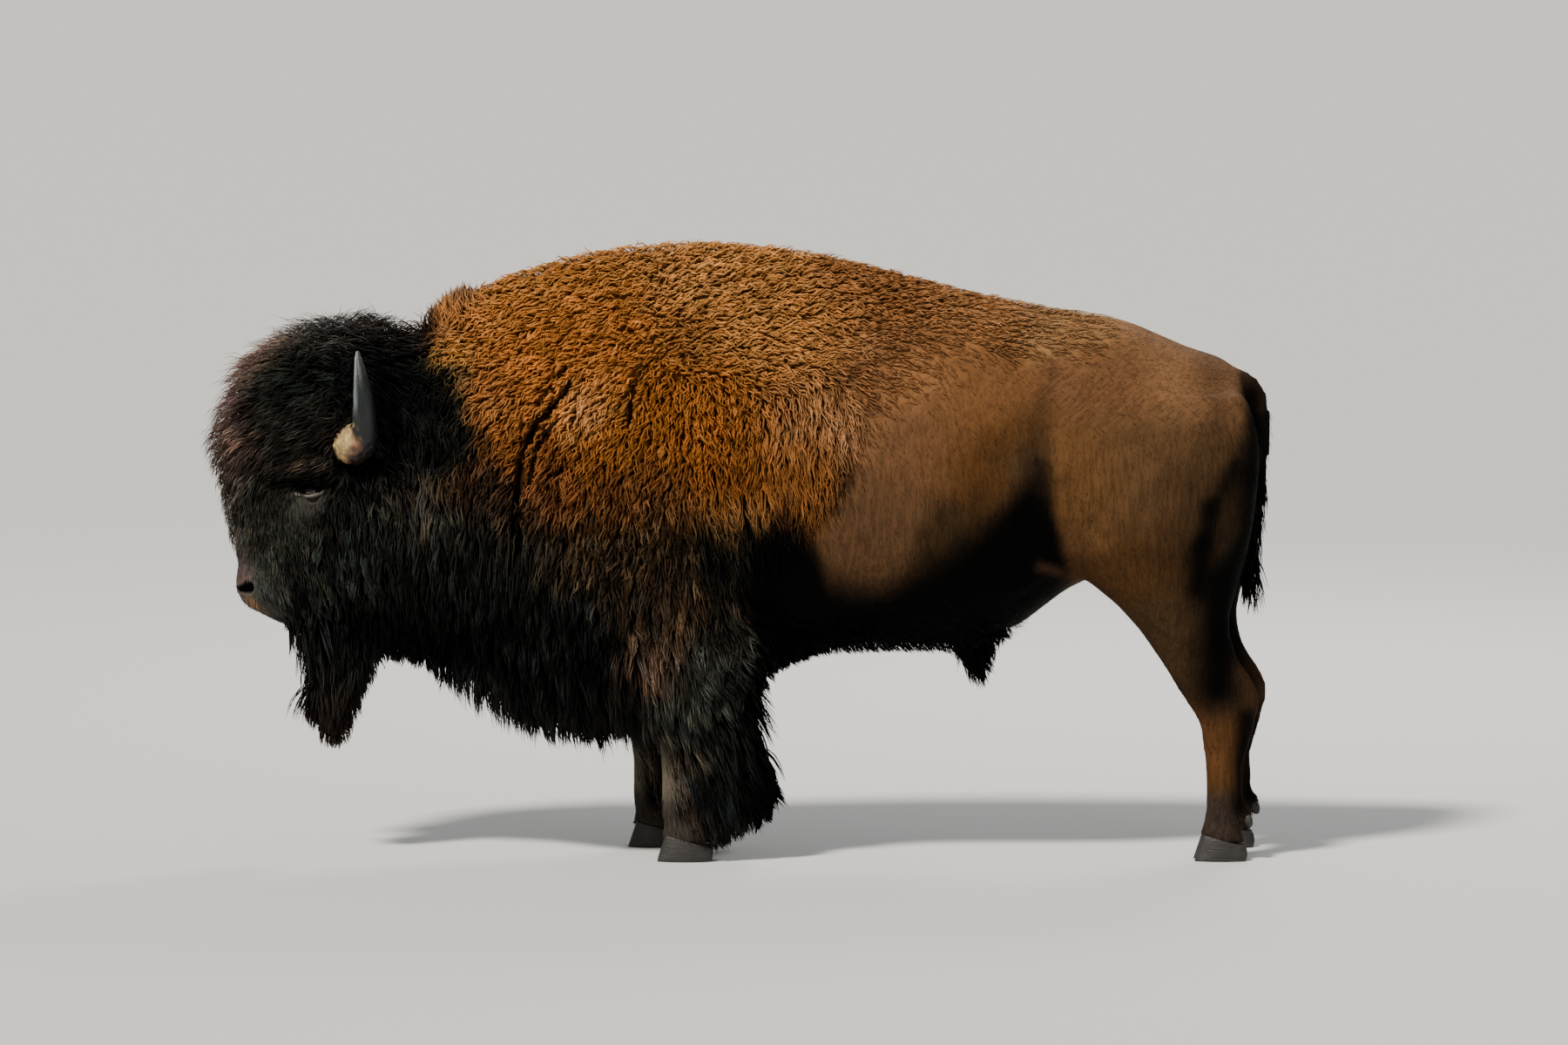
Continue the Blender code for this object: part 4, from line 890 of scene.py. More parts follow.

# %% [markdown]
# ## Colour
# The coat's colour is set the same way as its length: named places with the colour of the hair
# tips there, which is the hair's own colour except at a few places of painted shade or painted
# light. A slow wobble of the borders keeps black from meeting orange along a ruled line. Strokes
# of painted shadow lie over the shades, under the belly, where they also stand for its dark hair,
# and in the hollows, with a few painted lit places kept out of them, and thin dark partings,
# painted shade in the hair's crevices, split the hair of the shoulder. Skin and hair call the
# same function, so the markings and the painted shade run through both.

# %% Markings
SHADES = {
    # name: (place as x, |y|, z, reach, colour of the tips), on either side; where noted, painted shade
    # and a painted lit patch
    "crown": ((-1.22, 0.04, 1.55), 0.1, (0.044, 0.041, 0.037)),
    "forelock": ((-1.42, 0.06, 1.46), 0.09, (0.205, 0.116, 0.088)),
    "forehead": ((-1.52, 0.05, 1.3), 0.08, (0.08, 0.048, 0.041)),
    "low forehead": ((-1.52, 0.04, 1.14), 0.07, (0.07, 0.046, 0.036)),
    "temple": ((-1.32, 0.2, 1.38), 0.09, (0.0095, 0.0125, 0.0098)),
    "before the horn": ((-1.27, 0.2, 1.22), 0.07, (0.02, 0.016, 0.013)),
    "brow": ((-1.28, 0.18, 1.135), 0.03, (0.08, 0.057, 0.038)),
    # painted shadow of the brow over the eye
    "furrow": ((-1.26, 0.17, 1.095), 0.022, (0.004, 0.004, 0.004)),
    "lids": ((-1.25, 0.17, 1.07), 0.018, (0.018, 0.015, 0.013)),
    "pouch": ((-1.24, 0.17, 1.02), 0.03, (0.045, 0.038, 0.031)),
    "under the pouch": ((-1.23, 0.16, 0.96), 0.04, (0.026, 0.025, 0.021)),
    "side of the face": ((-1.37, 0.14, 0.96), 0.07, (0.032, 0.032, 0.024)),
    "front of the face": ((-1.49, 0.03, 1), 0.06, (0.042, 0.036, 0.029)),
    "side of the muzzle": ((-1.38, 0.11, 0.79), 0.05, (0.043, 0.044, 0.037)),
    "nose": ((-1.475, 0.03, 0.835), 0.034, (0.06, 0.043, 0.04)),
    "nostril": ((-1.46, 0.06, 0.8), 0.018, (0.11, 0.065, 0.055)),
    "upper lip": ((-1.43, 0.08, 0.725), 0.018, (0.24, 0.115, 0.055)),
    "lower lip": ((-1.42, 0.05, 0.69), 0.025, (0.07, 0.045, 0.035)),
    # painted shade in the corner of the mouth
    "corner of the mouth": ((-1.28, 0.12, 0.72), 0.025, (0.004, 0.004, 0.004)),
    "jowl": ((-1.26, 0.13, 0.84), 0.06, (0.023, 0.025, 0.02)),
    "cheek": ((-1.13, 0.18, 0.94), 0.08, (0.0155, 0.0185, 0.0155)),
    "beard": ((-1.18, 0.02, 0.58), 0.08, (0.0092, 0.0098, 0.0085)),
    "end of the beard": ((-1.2, 0.02, 0.38), 0.06, (0.018, 0.012, 0.009)),
    "round the ear": ((-1.03, 0.22, 1.13), 0.06, (0.008, 0.0075, 0.0065)),
    # black hair, darkened further by painted shade behind the horn
    "behind the horn": ((-1, 0.2, 1.35), 0.08, (0.0036, 0.0044, 0.0042)),
    "back of the crown": ((-1.04, 0.05, 1.52), 0.07, (0.012, 0.01, 0.009)),
    "nape": ((-0.95, 0.05, 1.57), 0.05, (0.05, 0.025, 0.014)),
    "crest of the neck": ((-0.92, 0, 1.645), 0.042, (0.055, 0.034, 0.026)),
    "crest of the neck, rear": ((-0.83, 0, 1.705), 0.045, (0.06, 0.036, 0.026)),
    "side of the neck": ((-0.95, 0.24, 1.28), 0.07, (0.006, 0.0065, 0.006)),
    "black collar": ((-0.88, 0.24, 1.28), 0.045, (0.0035, 0.004, 0.004)),
    "middle of the neck": ((-0.91, 0.27, 0.98), 0.08, (0.046, 0.04, 0.03)),
    "rusty locks": ((-0.81, 0.29, 1.06), 0.05, (0.085, 0.036, 0.013)),
    "low neck": ((-0.85, 0.22, 0.8), 0.1, (0.0066, 0.0074, 0.006)),
    "throat": ((-0.9, 0.05, 0.6), 0.1, (0.005, 0.005, 0.005)),
    "edge of the cape": ((-0.885, 0.18, 1.5), 0.045, (0.62, 0.245, 0.048)),
    "edge of the cape, top": ((-0.84, 0.08, 1.59), 0.05, (0.44, 0.175, 0.045)),
    "front of the cape": ((-0.76, 0.28, 1.33), 0.06, (0.33, 0.122, 0.03)),
    "edge of the cape, middle": ((-0.895, 0.22, 1.44), 0.052, (0.66, 0.26, 0.052)),
    "edge of the cape, low": ((-0.845, 0.26, 1.38), 0.044, (0.62, 0.24, 0.05)),
    "black collar, low": ((-0.855, 0.28, 1.19), 0.05, (0.003, 0.0033, 0.003)),
    "black collar, front": ((-0.95, 0.25, 1.17), 0.05, (0.006, 0.0062, 0.0055)),
    "front of the cape, low": ((-0.66, 0.32, 1.17), 0.06, (0.2, 0.07, 0.015)),
    "foot of the cape": ((-0.68, 0.32, 1), 0.05, (0.03, 0.015, 0.008)),
    "corner of the cape": ((-0.745, 0.3, 1.085), 0.042, (0.02, 0.011, 0.006)),
    "hump, front": ((-0.55, 0.1, 1.72), 0.12, (0.42, 0.165, 0.036)),
    "hump": ((-0.1, 0.1, 1.78), 0.14, (0.46, 0.2, 0.052)),
    # painted shade in the hollow of the hump
    "hollow of the hump": ((-0.14, 0.25, 1.53), 0.055, (0.24, 0.094, 0.022)),
    "below the hollow": ((-0.18, 0.34, 1.4), 0.042, (0.42, 0.155, 0.036)),
    "side of the hump": ((-0.45, 0.27, 1.5), 0.12, (0.36, 0.125, 0.024)),
    "behind the hump": ((0.1, 0.27, 1.55), 0.13, (0.4, 0.17, 0.043)),
    # painted shade under the fringe and under the shoulder
    "shade of the fringe": ((0.08, 0.37, 1.31), 0.048, (0.19, 0.074, 0.019)),
    "under the shoulder": ((-0.02, 0.37, 1.13), 0.055, (0.14, 0.047, 0.009)),
    "shoulder": ((-0.3, 0.36, 1.26), 0.11, (0.25, 0.085, 0.014)),
    "pale patch": ((-0.43, 0.34, 1.31), 0.062, (0.62, 0.33, 0.16)),
    "back of the shoulder": ((-0.05, 0.37, 1.28), 0.11, (0.27, 0.088, 0.015)),
    "fringe": ((0.15, 0.37, 1.28), 0.09, (0.34, 0.15, 0.053)),
    "low fringe": ((0.19, 0.36, 1.08), 0.06, (0.2, 0.075, 0.018)),
    "cape, low front": ((-0.58, 0.33, 1.02), 0.07, (0.12, 0.042, 0.0115)),
    "cape, low": ((-0.28, 0.36, 1.04), 0.08, (0.1, 0.037, 0.01)),
    "cape, low rear": ((0, 0.36, 0.95), 0.045, (0.26, 0.108, 0.03)),
    "below the cape": ((-0.28, 0.35, 0.87), 0.07, (0.032, 0.02, 0.01)),
    "below the cape, front": ((-0.66, 0.3, 0.88), 0.08, (0.016, 0.013, 0.01)),
    "below the cape, middle": ((-0.51, 0.33, 0.84), 0.05, (0.04, 0.025, 0.013)),
    "below the cape, rear": ((0, 0.36, 0.88), 0.05, (0.0045, 0.0042, 0.0028)),
    "upper arm": ((-0.2, 0.33, 0.72), 0.07, (0.045, 0.029, 0.017)),
    "breast": ((-0.65, 0.22, 0.7), 0.1, (0.007, 0.0075, 0.0065)),
    "brisket": ((-0.5, 0.08, 0.45), 0.12, (0.006, 0.006, 0.0055)),
    "front of the forearm": ((-0.24, 0.27, 0.54), 0.05, (0.115, 0.066, 0.042)),
    "fore edge of the forearm": ((-0.33, 0.2, 0.52), 0.04, (0.022, 0.015, 0.011)),
    "forearm": ((-0.12, 0.28, 0.48), 0.07, (0.036, 0.038, 0.03)),
    "back of the foreleg": ((0.04, 0.2, 0.3), 0.1, (0.008, 0.009, 0.008)),
    "elbow": ((0.055, 0.28, 0.64), 0.032, (0.11, 0.092, 0.06)),
    "before the elbow": ((-0.05, 0.3, 0.66), 0.045, (0.02, 0.017, 0.012)),
    "rust over the elbow": ((0.03, 0.31, 0.7), 0.022, (0.1, 0.05, 0.026)),
    "cannon": ((-0.23, 0.18, 0.24), 0.05, (0.095, 0.078, 0.055)),
    "side of the cannon": ((-0.13, 0.2, 0.28), 0.03, (0.075, 0.062, 0.045)),
    "fore pastern": ((-0.19, 0.17, 0.09), 0.04, (0.03, 0.024, 0.019)),
    "rough back": ((0.4, 0.12, 1.68), 0.1, (0.28, 0.115, 0.034)),
    "back": ((0.68, 0.1, 1.6), 0.09, (0.31, 0.135, 0.045)),
    "loin": ((0.95, 0.1, 1.55), 0.09, (0.29, 0.145, 0.055)),
    "upper side": ((0.45, 0.32, 1.43), 0.1, (0.235, 0.1, 0.036)),
    "upper side, rear": ((0.66, 0.33, 1.35), 0.1, (0.122, 0.053, 0.019)),
    "ribs": ((0.52, 0.37, 1.2), 0.1, (0.098, 0.045, 0.019)),
    # a painted sunlit patch on the ribs
    "ribs, front": ((0.31, 0.37, 1.25), 0.052, (0.4, 0.185, 0.075)),
    # darker towards the hollow before the thigh: partly the hair's own colour, partly painted shade
    "ribs, rear": ((0.72, 0.36, 1.15), 0.09, (0.05, 0.02, 0.0055)),
    "low ribs": ((0.4, 0.36, 0.97), 0.08, (0.07, 0.035, 0.016)),
    # darker towards the belly: partly the hair's own colour, partly painted shade
    "low ribs, rear": ((0.62, 0.34, 0.93), 0.07, (0.026, 0.014, 0.006)),
    "flank": ((0.8, 0.32, 1.12), 0.06, (0.08, 0.048, 0.026)),
    "flank fold": ((0.91, 0.27, 0.825), 0.028, (0.05, 0.024, 0.012)),
    "sheath": ((0.69, 0.02, 0.55), 0.04, (0.004, 0.004, 0.0035)),
    "hip": ((1.05, 0.26, 1.42), 0.1, (0.105, 0.047, 0.019)),
    "rump": ((1.28, 0.15, 1.42), 0.1, (0.155, 0.075, 0.032)),
    "front of the thigh": ((0.99, 0.32, 1.1), 0.09, (0.112, 0.05, 0.0165)),
    "thigh": ((1.15, 0.31, 1.1), 0.12, (0.068, 0.035, 0.0148)),
    "low thigh": ((1.11, 0.28, 0.85), 0.08, (0.045, 0.021, 0.0075)),
    "stifle": ((1.01, 0.3, 0.93), 0.045, (0.12, 0.057, 0.022)),
    "hamstring": ((1.41, 0.18, 1.1), 0.03, (0.03, 0.022, 0.013)),
    "switch": ((1.5, 0.01, 0.8), 0.09, (0.004, 0.0035, 0.003)),
    "tail": ((1.54, 0.01, 1.2), 0.04, (0.006, 0.005, 0.004)),
    "root of the tail": ((1.475, 0.01, 1.375), 0.028, (0.02, 0.011, 0.007)),
    "gaskin": ((1.19, 0.22, 0.64), 0.07, (0.04, 0.022, 0.01)),
    "hock": ((1.43, 0.2, 0.48), 0.045, (0.04, 0.02, 0.009)),
    "hind cannon": ((1.37, 0.18, 0.28), 0.07, (0.065, 0.028, 0.01)),
    "hind pastern": ((1.4, 0.17, 0.09), 0.05, (0.028, 0.019, 0.014)),
}
shade_places = np.array([place for place, *_ in SHADES.values()])
shade_reaches = np.array([reach for _, reach, _ in SHADES.values()])
shade_facts = np.log(np.array([colour for *_, colour in SHADES.values()]))
WOBBLE, WOBBLE_SIZE = 0.016, 0.07  # how far the borders wander, and over what distance
SHADOW_WOBBLE = 0.28  # share of that by which shadows wander
CALM_BY_EYE = 0.25  # share of it that is left by the eye, where the marks are small
EYE_POWER = 0.5  # shadows are mixed in evenly as an eye sees them, not as light adds up
# the colour at the bottom of the painted shadows
SHADOW_BLACK = np.array((0.0008, 0.0007, 0.0006))
FLAT_STROKE = (1, 0.15, 1)  # strokes count mostly as seen from the side
# the upper edge of the painted shadow under the belly, which also stands for its own dark hair, as (x,
# z)
BELLY_TOP = through(
    *((0.02, 0.84), (0.07, 0.90), (0.13, 0.95), (0.20, 0.89), (0.26, 0.77), (0.38, 0.745)),
    *((0.50, 0.80), (0.63, 0.88), (0.76, 0.99), (0.84, 1.07), (0.88, 1.01), (0.92, 0.90), (0.97, 0.77)),
)
PAINTED_SHADOWS = {
    # name: (from, to, reach, how dark), on the left side; each stroke is a painted shadow
    "before the hook bone": ((0.9, -0.3, 1.45), (0.88, -0.32, 1.32), 0.036, 0.14),
    "loin hollow": ((0.865, -0.32, 1.28), (0.862, -0.32, 1.14), 0.044, 0.22),
    "hollow before the thigh": ((0.866, -0.32, 1.14), (0.885, -0.32, 0.92), 0.034, 0.62),
    "last ribs": ((0.78, -0.32, 1.16), (0.76, -0.32, 1.02), 0.06, 0.08),
    "hamstring groove, high": ((1.422, -0.18, 1.13), (1.356, -0.21, 1.01), 0.028, 0.72),
    "hamstring groove": ((1.356, -0.21, 1.01), (1.332, -0.22, 0.9), 0.032, 0.92),
    "hamstring groove, low": ((1.332, -0.22, 0.9), (1.32, -0.22, 0.78), 0.042, 0.9),
    "back of the thigh": ((1.31, -0.25, 1.1), (1.26, -0.27, 0.88), 0.075, 0.28),
    "rear of the rump": ((1.36, -0.2, 1.43), (1.385, -0.22, 1.22), 0.06, 0.27),
    "hamstring": ((1.445, -0.17, 1.18), (1.4, -0.2, 0.93), 0.04, 0.45),
    "buttock": ((1.484, -0.12, 1.34), (1.482, -0.12, 1.1), 0.034, 0.95),
    "buttock, low": ((1.472, -0.12, 1.1), (1.447, -0.12, 0.78), 0.036, 0.98),
    "back of the gaskin": ((1.392, -0.15, 0.8), (1.376, -0.16, 0.49), 0.07, 0.99),
    "shin": ((1.16, -0.17, 0.62), (1.272, -0.16, 0.462), 0.014, 0.6),
    "under the rough hair": ((0.27, -0.34, 1.345), (0.43, -0.33, 1.475), 0.012, 0.55),
    "under the rough hair, rear": ((0.43, -0.33, 1.475), (0.66, -0.3, 1.525), 0.012, 0.5),
    "back of the hind cannon": ((1.462, -0.16, 0.4), (1.452, -0.16, 0.14), 0.03, 0.9),
    "under the jaw": ((-1.08, -0.18, 0.7), (-0.74, -0.24, 0.63), 0.06, 0.75),
    "over the eye": ((-1.205, -0.17, 1.078), (-1.355, -0.15, 1.086), 0.02, 0.96),
}
LIT = {
    # name: (from, to, reach, how far it stays out of the shadows)
    "flank fold": ((0.99, -0.26, 0.803), (0.865, -0.27, 0.842), 0.02, 0.85),
    "hamstring, low": ((1.4, -0.2, 0.99), (1.395, -0.19, 0.85), 0.018, 0.5),
}
PARTINGS = {
    # name: (half its width, how dark its painted shade is, points in x and z), on the left side
    "main": (0.0066, 0.92, [(-0.496, 1.366), (-0.552, 1.29), (-0.603, 1.239), (-0.636, 1.137)]),
    "main, low": (0.0075, 0.92, [(-0.636, 1.137), (-0.649, 0.997), (-0.641, 0.896)]),
    "second": (0.0045, 0.85, [(-0.552, 1.239), (-0.59, 1.176), (-0.616, 1.074)]),
    "third": (0.0035, 0.65, [(-0.476, 1.188), (-0.539, 1.099)]),
    "upper": (0.0035, 0.7, [(-0.509, 1.417), (-0.552, 1.366), (-0.578, 1.315)]),
    "short": (0.0042, 0.62, [(-0.293, 1.417), (-0.31, 1.341), (-0.323, 1.252)]),
}


def to_partings(left):
    """Distance to the nearest parting in its own half-widths, and how dark the painted shade in that
    parting is.
    """
    flat = as_seen(left) * (1, 0, 1)
    nearest = np.full(len(flat), 99.0)
    dark = np.zeros(len(flat))
    for half, strength, line in PARTINGS.values():
        for (ax, az), (bx, bz) in zip(line, line[1:]):
            gap = to_stroke(flat, (ax, 0, az), (bx, 0, bz)) / half
            closer = gap < nearest
            nearest = np.where(closer, gap, nearest)
            dark = np.where(closer, strength, dark)
    return nearest, dark


def light_at(left):
    """How far each point stays out of the painted shadows, from 0 to 1."""
    x, y, z = left.T
    # painted shade under the belly, partly the belly's own dark hair, and painted shade between the
    # hind legs
    under_belly = ease(z - BELLY_TOP(x), 0.100, -0.050) * ease(x, -0.02, 0.06) * ease(x, 0.98, 0.90)
    between_legs = ease(y, -0.13, -0.07) * ease(x, 0.95, 1.05) * ease(z, 0.98, 0.90)
    keep = (1 - 0.99 * under_belly) * (1 - 0.90 * between_legs)
    # painted shadows along the strokes
    for a, b, reach, strength in PAINTED_SHADOWS.values():
        keep *= 1 - strength * bell(to_stroke(left, a, b, FLAT_STROKE) / reach)
    # painted lit places, kept out of the painted shadows
    for a, b, reach, strength in LIT.values():
        keep = np.maximum(keep, strength * bell(to_stroke(left, a, b, FLAT_STROKE) / reach))
    return keep


def shade_at(points):
    """The colour of the hair tips at each point, with painted light and shade mixed in."""
    wobble = WOBBLE * np.stack([ripples(points, WOBBLE_SIZE, seed) for seed in (1, 2, 3)], 1)
    near = near_side(points)
    calm = CALM_BY_EYE + (1 - CALM_BY_EYE) * ease(away_from(near, EYE), 0.08, 0.20)
    moved = wobble * calm[:, None]
    left = as_seen(near_side(points + moved))
    colour = np.exp(blended(left, shade_places, shade_reaches, shade_facts))
    # painted shadows, which wander less than the borders of the markings
    keep = light_at(as_seen(near_side(points + SHADOW_WOBBLE * moved)))
    gap, dark = to_partings(near)
    # painted shade in the crevices of the partings
    keep *= 1 - dark * ease(gap, 1.7, 0.8)
    keep = keep[:, None]
    mixed = colour**EYE_POWER * keep + SHADOW_BLACK**EYE_POWER * (1 - keep)
    return mixed ** (1 / EYE_POWER)


print(len(SHADES), "shades,", len(PAINTED_SHADOWS), "shadows and", len(PARTINGS), "partings")

# %% [markdown]
# ## The skin's finish
# Where the coat is short, what reads as fur is mostly relief finer than any mesh: streaks that
# follow the lie of the hair. Three stretched noises, falling, slanting and level, are mixed by how
# the hair lies at each place. The bare nose and the rims of the lids have a pebbled, moist grain
# instead. Under the hair the skin is painted darker than the tips above it, most under deep wool:
# a painted shade between the locks.

# %% Paint the skin
# painted shade on the skin between the locks, and how much deeper it is under wool
SKIN_SHADE = 0.62  # skin between the locks, against the tips of the hair
WOOL_SHADE = 0.24  # how much darker still it is under wool
# a painted highlight along the ridge under the lower lid, the dark rims of the lids, and painted shade
# inside the nostrils
RIDGE_HIGHLIGHT, RIM_BLACK, PIT_SHADE = (0.36, 0.32, 0.26), (0.010, 0.008, 0.007), (0.004, 0.003, 0.003)
FINE, COARSE = 330, 95  # streaks to the metre
SQUASH = 0.13  # the width of a streak against its length
SLANT = math.radians(-48)
LEVEL, SLOPING, STEEP, FALLING = 0.20, 0.50, 0.72, 0.93  # how far down a lie of length 1 points
SPARSE, CROWDED = 700, 2200  # locks in a square metre: skin below the first is bare


def paint(data, name, colours):
    """Writes one colour for each vertex."""
    layer = data.color_attributes.new(name, "FLOAT_COLOR", "POINT")
    layer.data.foreach_set("color", np.hstack((colours, np.ones((len(colours), 1)))).ravel())


def painted_look(name, attribute, **sockets):
    """A look, and the painted colour that it starts from."""
    look = Look(name, **sockets)
    return look, look.attribute(attribute).outputs["Color"]


ground = places(skin)
coat = coat_at(ground)
lie = unit(coat["lie"])
colours = shade_at(ground)
wool = ease(coat["length"], 0.030, 0.060)
# painted shade: the skin darker than the hair tips, deeper under wool
colours *= (1 - (1 - SKIN_SHADE) * ease(coat["length"], 0.026, 0.040) - WOOL_SHADE * wool)[:, None]
left, _ = folded(ground)
back, up, out = around_eye(left)
by_eye = ease(away_from(left, EYE), 0.034, 0.026)
edge = lid_edge(back, up)
rim = by_eye * ease(edge, 0.0045, 0.0020)
ridge = bell(to_ridge(back, up) / 0.0036) * before_eye(out)
# painted highlight along the ridge under the lower lid
colours += (np.array(RIDGE_HIGHLIGHT) - colours) * 0.95 * ridge[:, None]
colours += (np.array(RIM_BLACK) - colours) * rim[:, None]
# painted shade inside the nostril's pit
colours += (np.array(PIT_SHADE) - colours) * in_pit[:, None]
paint(skin, "hair", colours)
bare = ease(coat["crowd"], CROWDED, SPARSE)
wet = np.maximum(bare, rim)
level = ease(np.abs(lie[:, 2]), SLOPING, LEVEL)
falling = ease(np.abs(lie[:, 2]), STEEP, FALLING)
paint(skin, "lay", np.stack((level, falling, wet), 1))

skin_look, tint = painted_look("short fur", "hair", Roughness=0.62, Specular_IOR_Level=0.02)
lay = skin_look.attribute("lay").outputs["Color"]
parts = skin_look.node("ShaderNodeSeparateColor", None, {"Color": lay})
level, falling, wet = (Wire(skin_look, parts.outputs[k]) for k in range(3))
upright = skin_look.place(scale=(1, 1, SQUASH))
slanted = skin_look.place(scale=(1, 1, SQUASH), turn=(0, SLANT, 0))
lengthwise = skin_look.place(scale=(SQUASH, 1, 1))


def streaked(size, detail):
    """Streaks that fall, run level, or slant where the hair does neither."""
    made = skin_look.grain(size, upright, detail) * falling
    made = made + skin_look.grain(size, lengthwise, detail) * level
    return made + skin_look.grain(size, slanted, detail) * (1 - falling) * (1 - level)


streaks = streaked(FINE, 3)
tufts = streaked(COARSE, 2)
patches = skin_look.grain(14, skin_look.place(), 4)
values = {"Vector": skin_look.place(), "Scale": 260}
pebbles = Wire(skin_look, skin_look.node("ShaderNodeTexVoronoi", None, values).outputs[0])
fur = streaks * 0.55 + tufts.soft(0.30, 0.70) * 0.55 + patches.soft(0.25, 0.75) * 0.30
shade = 0.50 + fur * 0.70
shade = shade * (1 - wet) + (0.85 + pebbles * 0.25) * wet
height = (streaks * 0.5 + tufts * 0.8) * (1 - wet) + pebbles * wet * 0.5
skin_look.feed(
    skin_look.shader,
    {
        "Base Color": skin_look.shaded(tint, shade),
        "Roughness": 0.64 - wet * 0.30,
        "Normal": skin_look.bump(height, 0.006, 0.85),
    },
)
print("the lay of the hair is painted on", len(ground), "points of skin")

# %% [markdown]
# A flat map gives every point of the skin an address. The skin is unwrapped once, and each lock of
# hair gets a small patch at its root's place on that map, so it stays with the skin it grows from.

# %% Unwrap the skin
body = show(skin, "skin", skin_look)
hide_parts(*FLESH, *HANGING, *EARS)
bpy.context.view_layer.objects.active = body
body.select_set(True)
bpy.ops.object.mode_set(mode="EDIT")
bpy.ops.mesh.select_all(action="SELECT")
bpy.ops.uv.smart_project(angle_limit=math.radians(66), island_margin=0.002)
bpy.ops.object.mode_set(mode="OBJECT")
skin.uv_layers.active.name = "OFBake"
print("unwrapped", len(skin.loops), "corners")

# %% [markdown]
# ## The coat
# Roots are scattered over the skin, more where the coat is thick. Each root keeps its place, the
# skin's normal and its patch of the unwrap. The eyes, the nostrils, the skin under the horns and
# the partings stay bare.

# %% Scatter the roots
CROWDING = 1.0
BARE_EYE, BARE_SLIT, BARE_ROUND_RIDGE = 0.036, 0.0060, 0.0050  # no hair grows nearer than this
BARE_NOSTRIL = 1.5  # where 1 is the nostril's edge
HORN_ROOT = ((-1.12, -0.10, 1.222), (-1.125, -0.21, 1.215), 0.050)  # from, to, reach
chance = np.random.default_rng(1872)
skin.calc_loop_triangles()
corners = read(skin.loop_triangles, "vertices", 3, int)
loops = read(skin.loop_triangles, "loops", 3, int)
unwrap = read(skin.uv_layers["OFBake"].data, "uv", 2)
count = len(corners)
a, b, c = (ground[corners[:, k]] for k in range(3))
area = np.linalg.norm(np.cross(b - a, c - a), axis=1) / 2
crowd = coat["crowd"][corners].mean(axis=1)
expected = area * crowd * CROWDING
many = np.floor(expected + chance.random(count)).astype(int)
which = np.repeat(np.arange(count), many)
spot = chance.random((len(which), 2))
over = spot.sum(axis=1) > 1
spot[over] = 1 - spot[over]
share = np.column_stack((1 - spot.sum(axis=1), spot))
up_there = normals(skin)
roots = (ground[corners[which]] * share[:, :, None]).sum(axis=1)
outward = unit((up_there[corners[which]] * share[:, :, None]).sum(axis=1))
patch = (unwrap[loops[which]] * share[:, :, None]).sum(axis=1)

left, _ = folded(roots)
back, up, out = around_eye(left)
from_eye = away_from(left, EYE)
in_eye = (from_eye < BARE_EYE) & (lid_edge(back, up) < BARE_SLIT)
in_eye |= (from_eye < 0.060) & (to_ridge(back, up) < BARE_ROUND_RIDGE)
in_nostril = (to_nostril(left) < BARE_NOSTRIL) & (left[:, 0] < NOSTRILS_END)
under_horn = to_stroke(left, *HORN_ROOT[:2]) < HORN_ROOT[2]
in_parting = to_partings(near_side(roots))[0] < 1.0
kept = ~(in_eye | in_nostril | under_horn | in_parting)
roots, outward, patch = roots[kept], outward[kept], patch[kept]
print("skin of", round(float(area.sum()), 2), "square metres carries", len(roots), "locks")

# %% [markdown]
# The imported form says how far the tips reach. A ray from each root along the normal measures the
# room between skin and form, and the lock rises through that much and no more. Long hair that
# would hang well beyond the form is cut back until its tip is near it. Only the lower edge of the
# breast hair may fray further out, and a brush of hair stands up along the crest of the neck. A
# lock that would cross a parting is cut short before it.

# %% Measure the room above each root
tree = bvhtree.BVHTree.FromPolygons(
    [vertex.co for vertex in tips.vertices], [face.vertices for face in tips.polygons]
)
LEAST_ROOM, MOST_ROOM = 0.0025, 0.12
MOST_BEYOND = 0.018  # how far the tip of a long lock may pass the form
FRAYED = 0.055  # how much further, along the breast's lower edge and the crest of the neck
CREST_LIE, CREST_LONG = np.array((-0.35, 0.0, 0.94)), 0.078  # the brush along the crest
CREST_PULL = 5  # how firmly its lie overrules what lies about it
CREST_FRAYED = 0.7  # its share of FRAYED
ASTRAY = 0.8  # hair near a parting may follow its neighbours on the other side
LONG_HAIR, SHORTEST = 0.05, 0.030  # hair over the first is cut back, but never below the second
RISEN = 0.6  # share of the room that a lock has risen through when it starts to run along
coat = coat_at(roots)
astray = chance.normal(0, 1, roots.shape) * (1.0, 0.4, 0.4) * ASTRAY
x, y, z = roots.T
astray *= (coat["length"] * (1 + 1.2 * ease(z, 1.35, 1.55)))[:, None]
coat["lie"] = coat_at(roots + astray)["lie"]
crest = ease(z, 1.50, 1.54) * ease(x, -1.00, -0.95) * ease(x, -0.70, -0.80)
crest *= ease(np.abs(y), 0.10, 0.05)
coat["lie"] += CREST_PULL * crest[:, None] * CREST_LIE
coat["length"] = np.maximum(coat["length"], CREST_LONG * crest)
room = np.full(len(roots), np.nan)
for k, (root, away) in enumerate(zip(roots, outward)):
    found = tree.ray_cast(Vector(root), Vector(away), MOST_ROOM)
    if found[3] is not None:
        room[k] = found[3]
room = np.where(np.isnan(room), np.minimum(coat["depth"], 0.02), room)
room = np.clip(room, LEAST_ROOM, MOST_ROOM)
longest = coat["length"] * 1.15
frayed = ease(z, 0.72, 0.55) * ease(x, -1.00, -0.85) * ease(x, -0.18, -0.28)
allowed = MOST_BEYOND + FRAYED * np.maximum(frayed, CREST_FRAYED * crest)
lie = unit(coat["lie"])
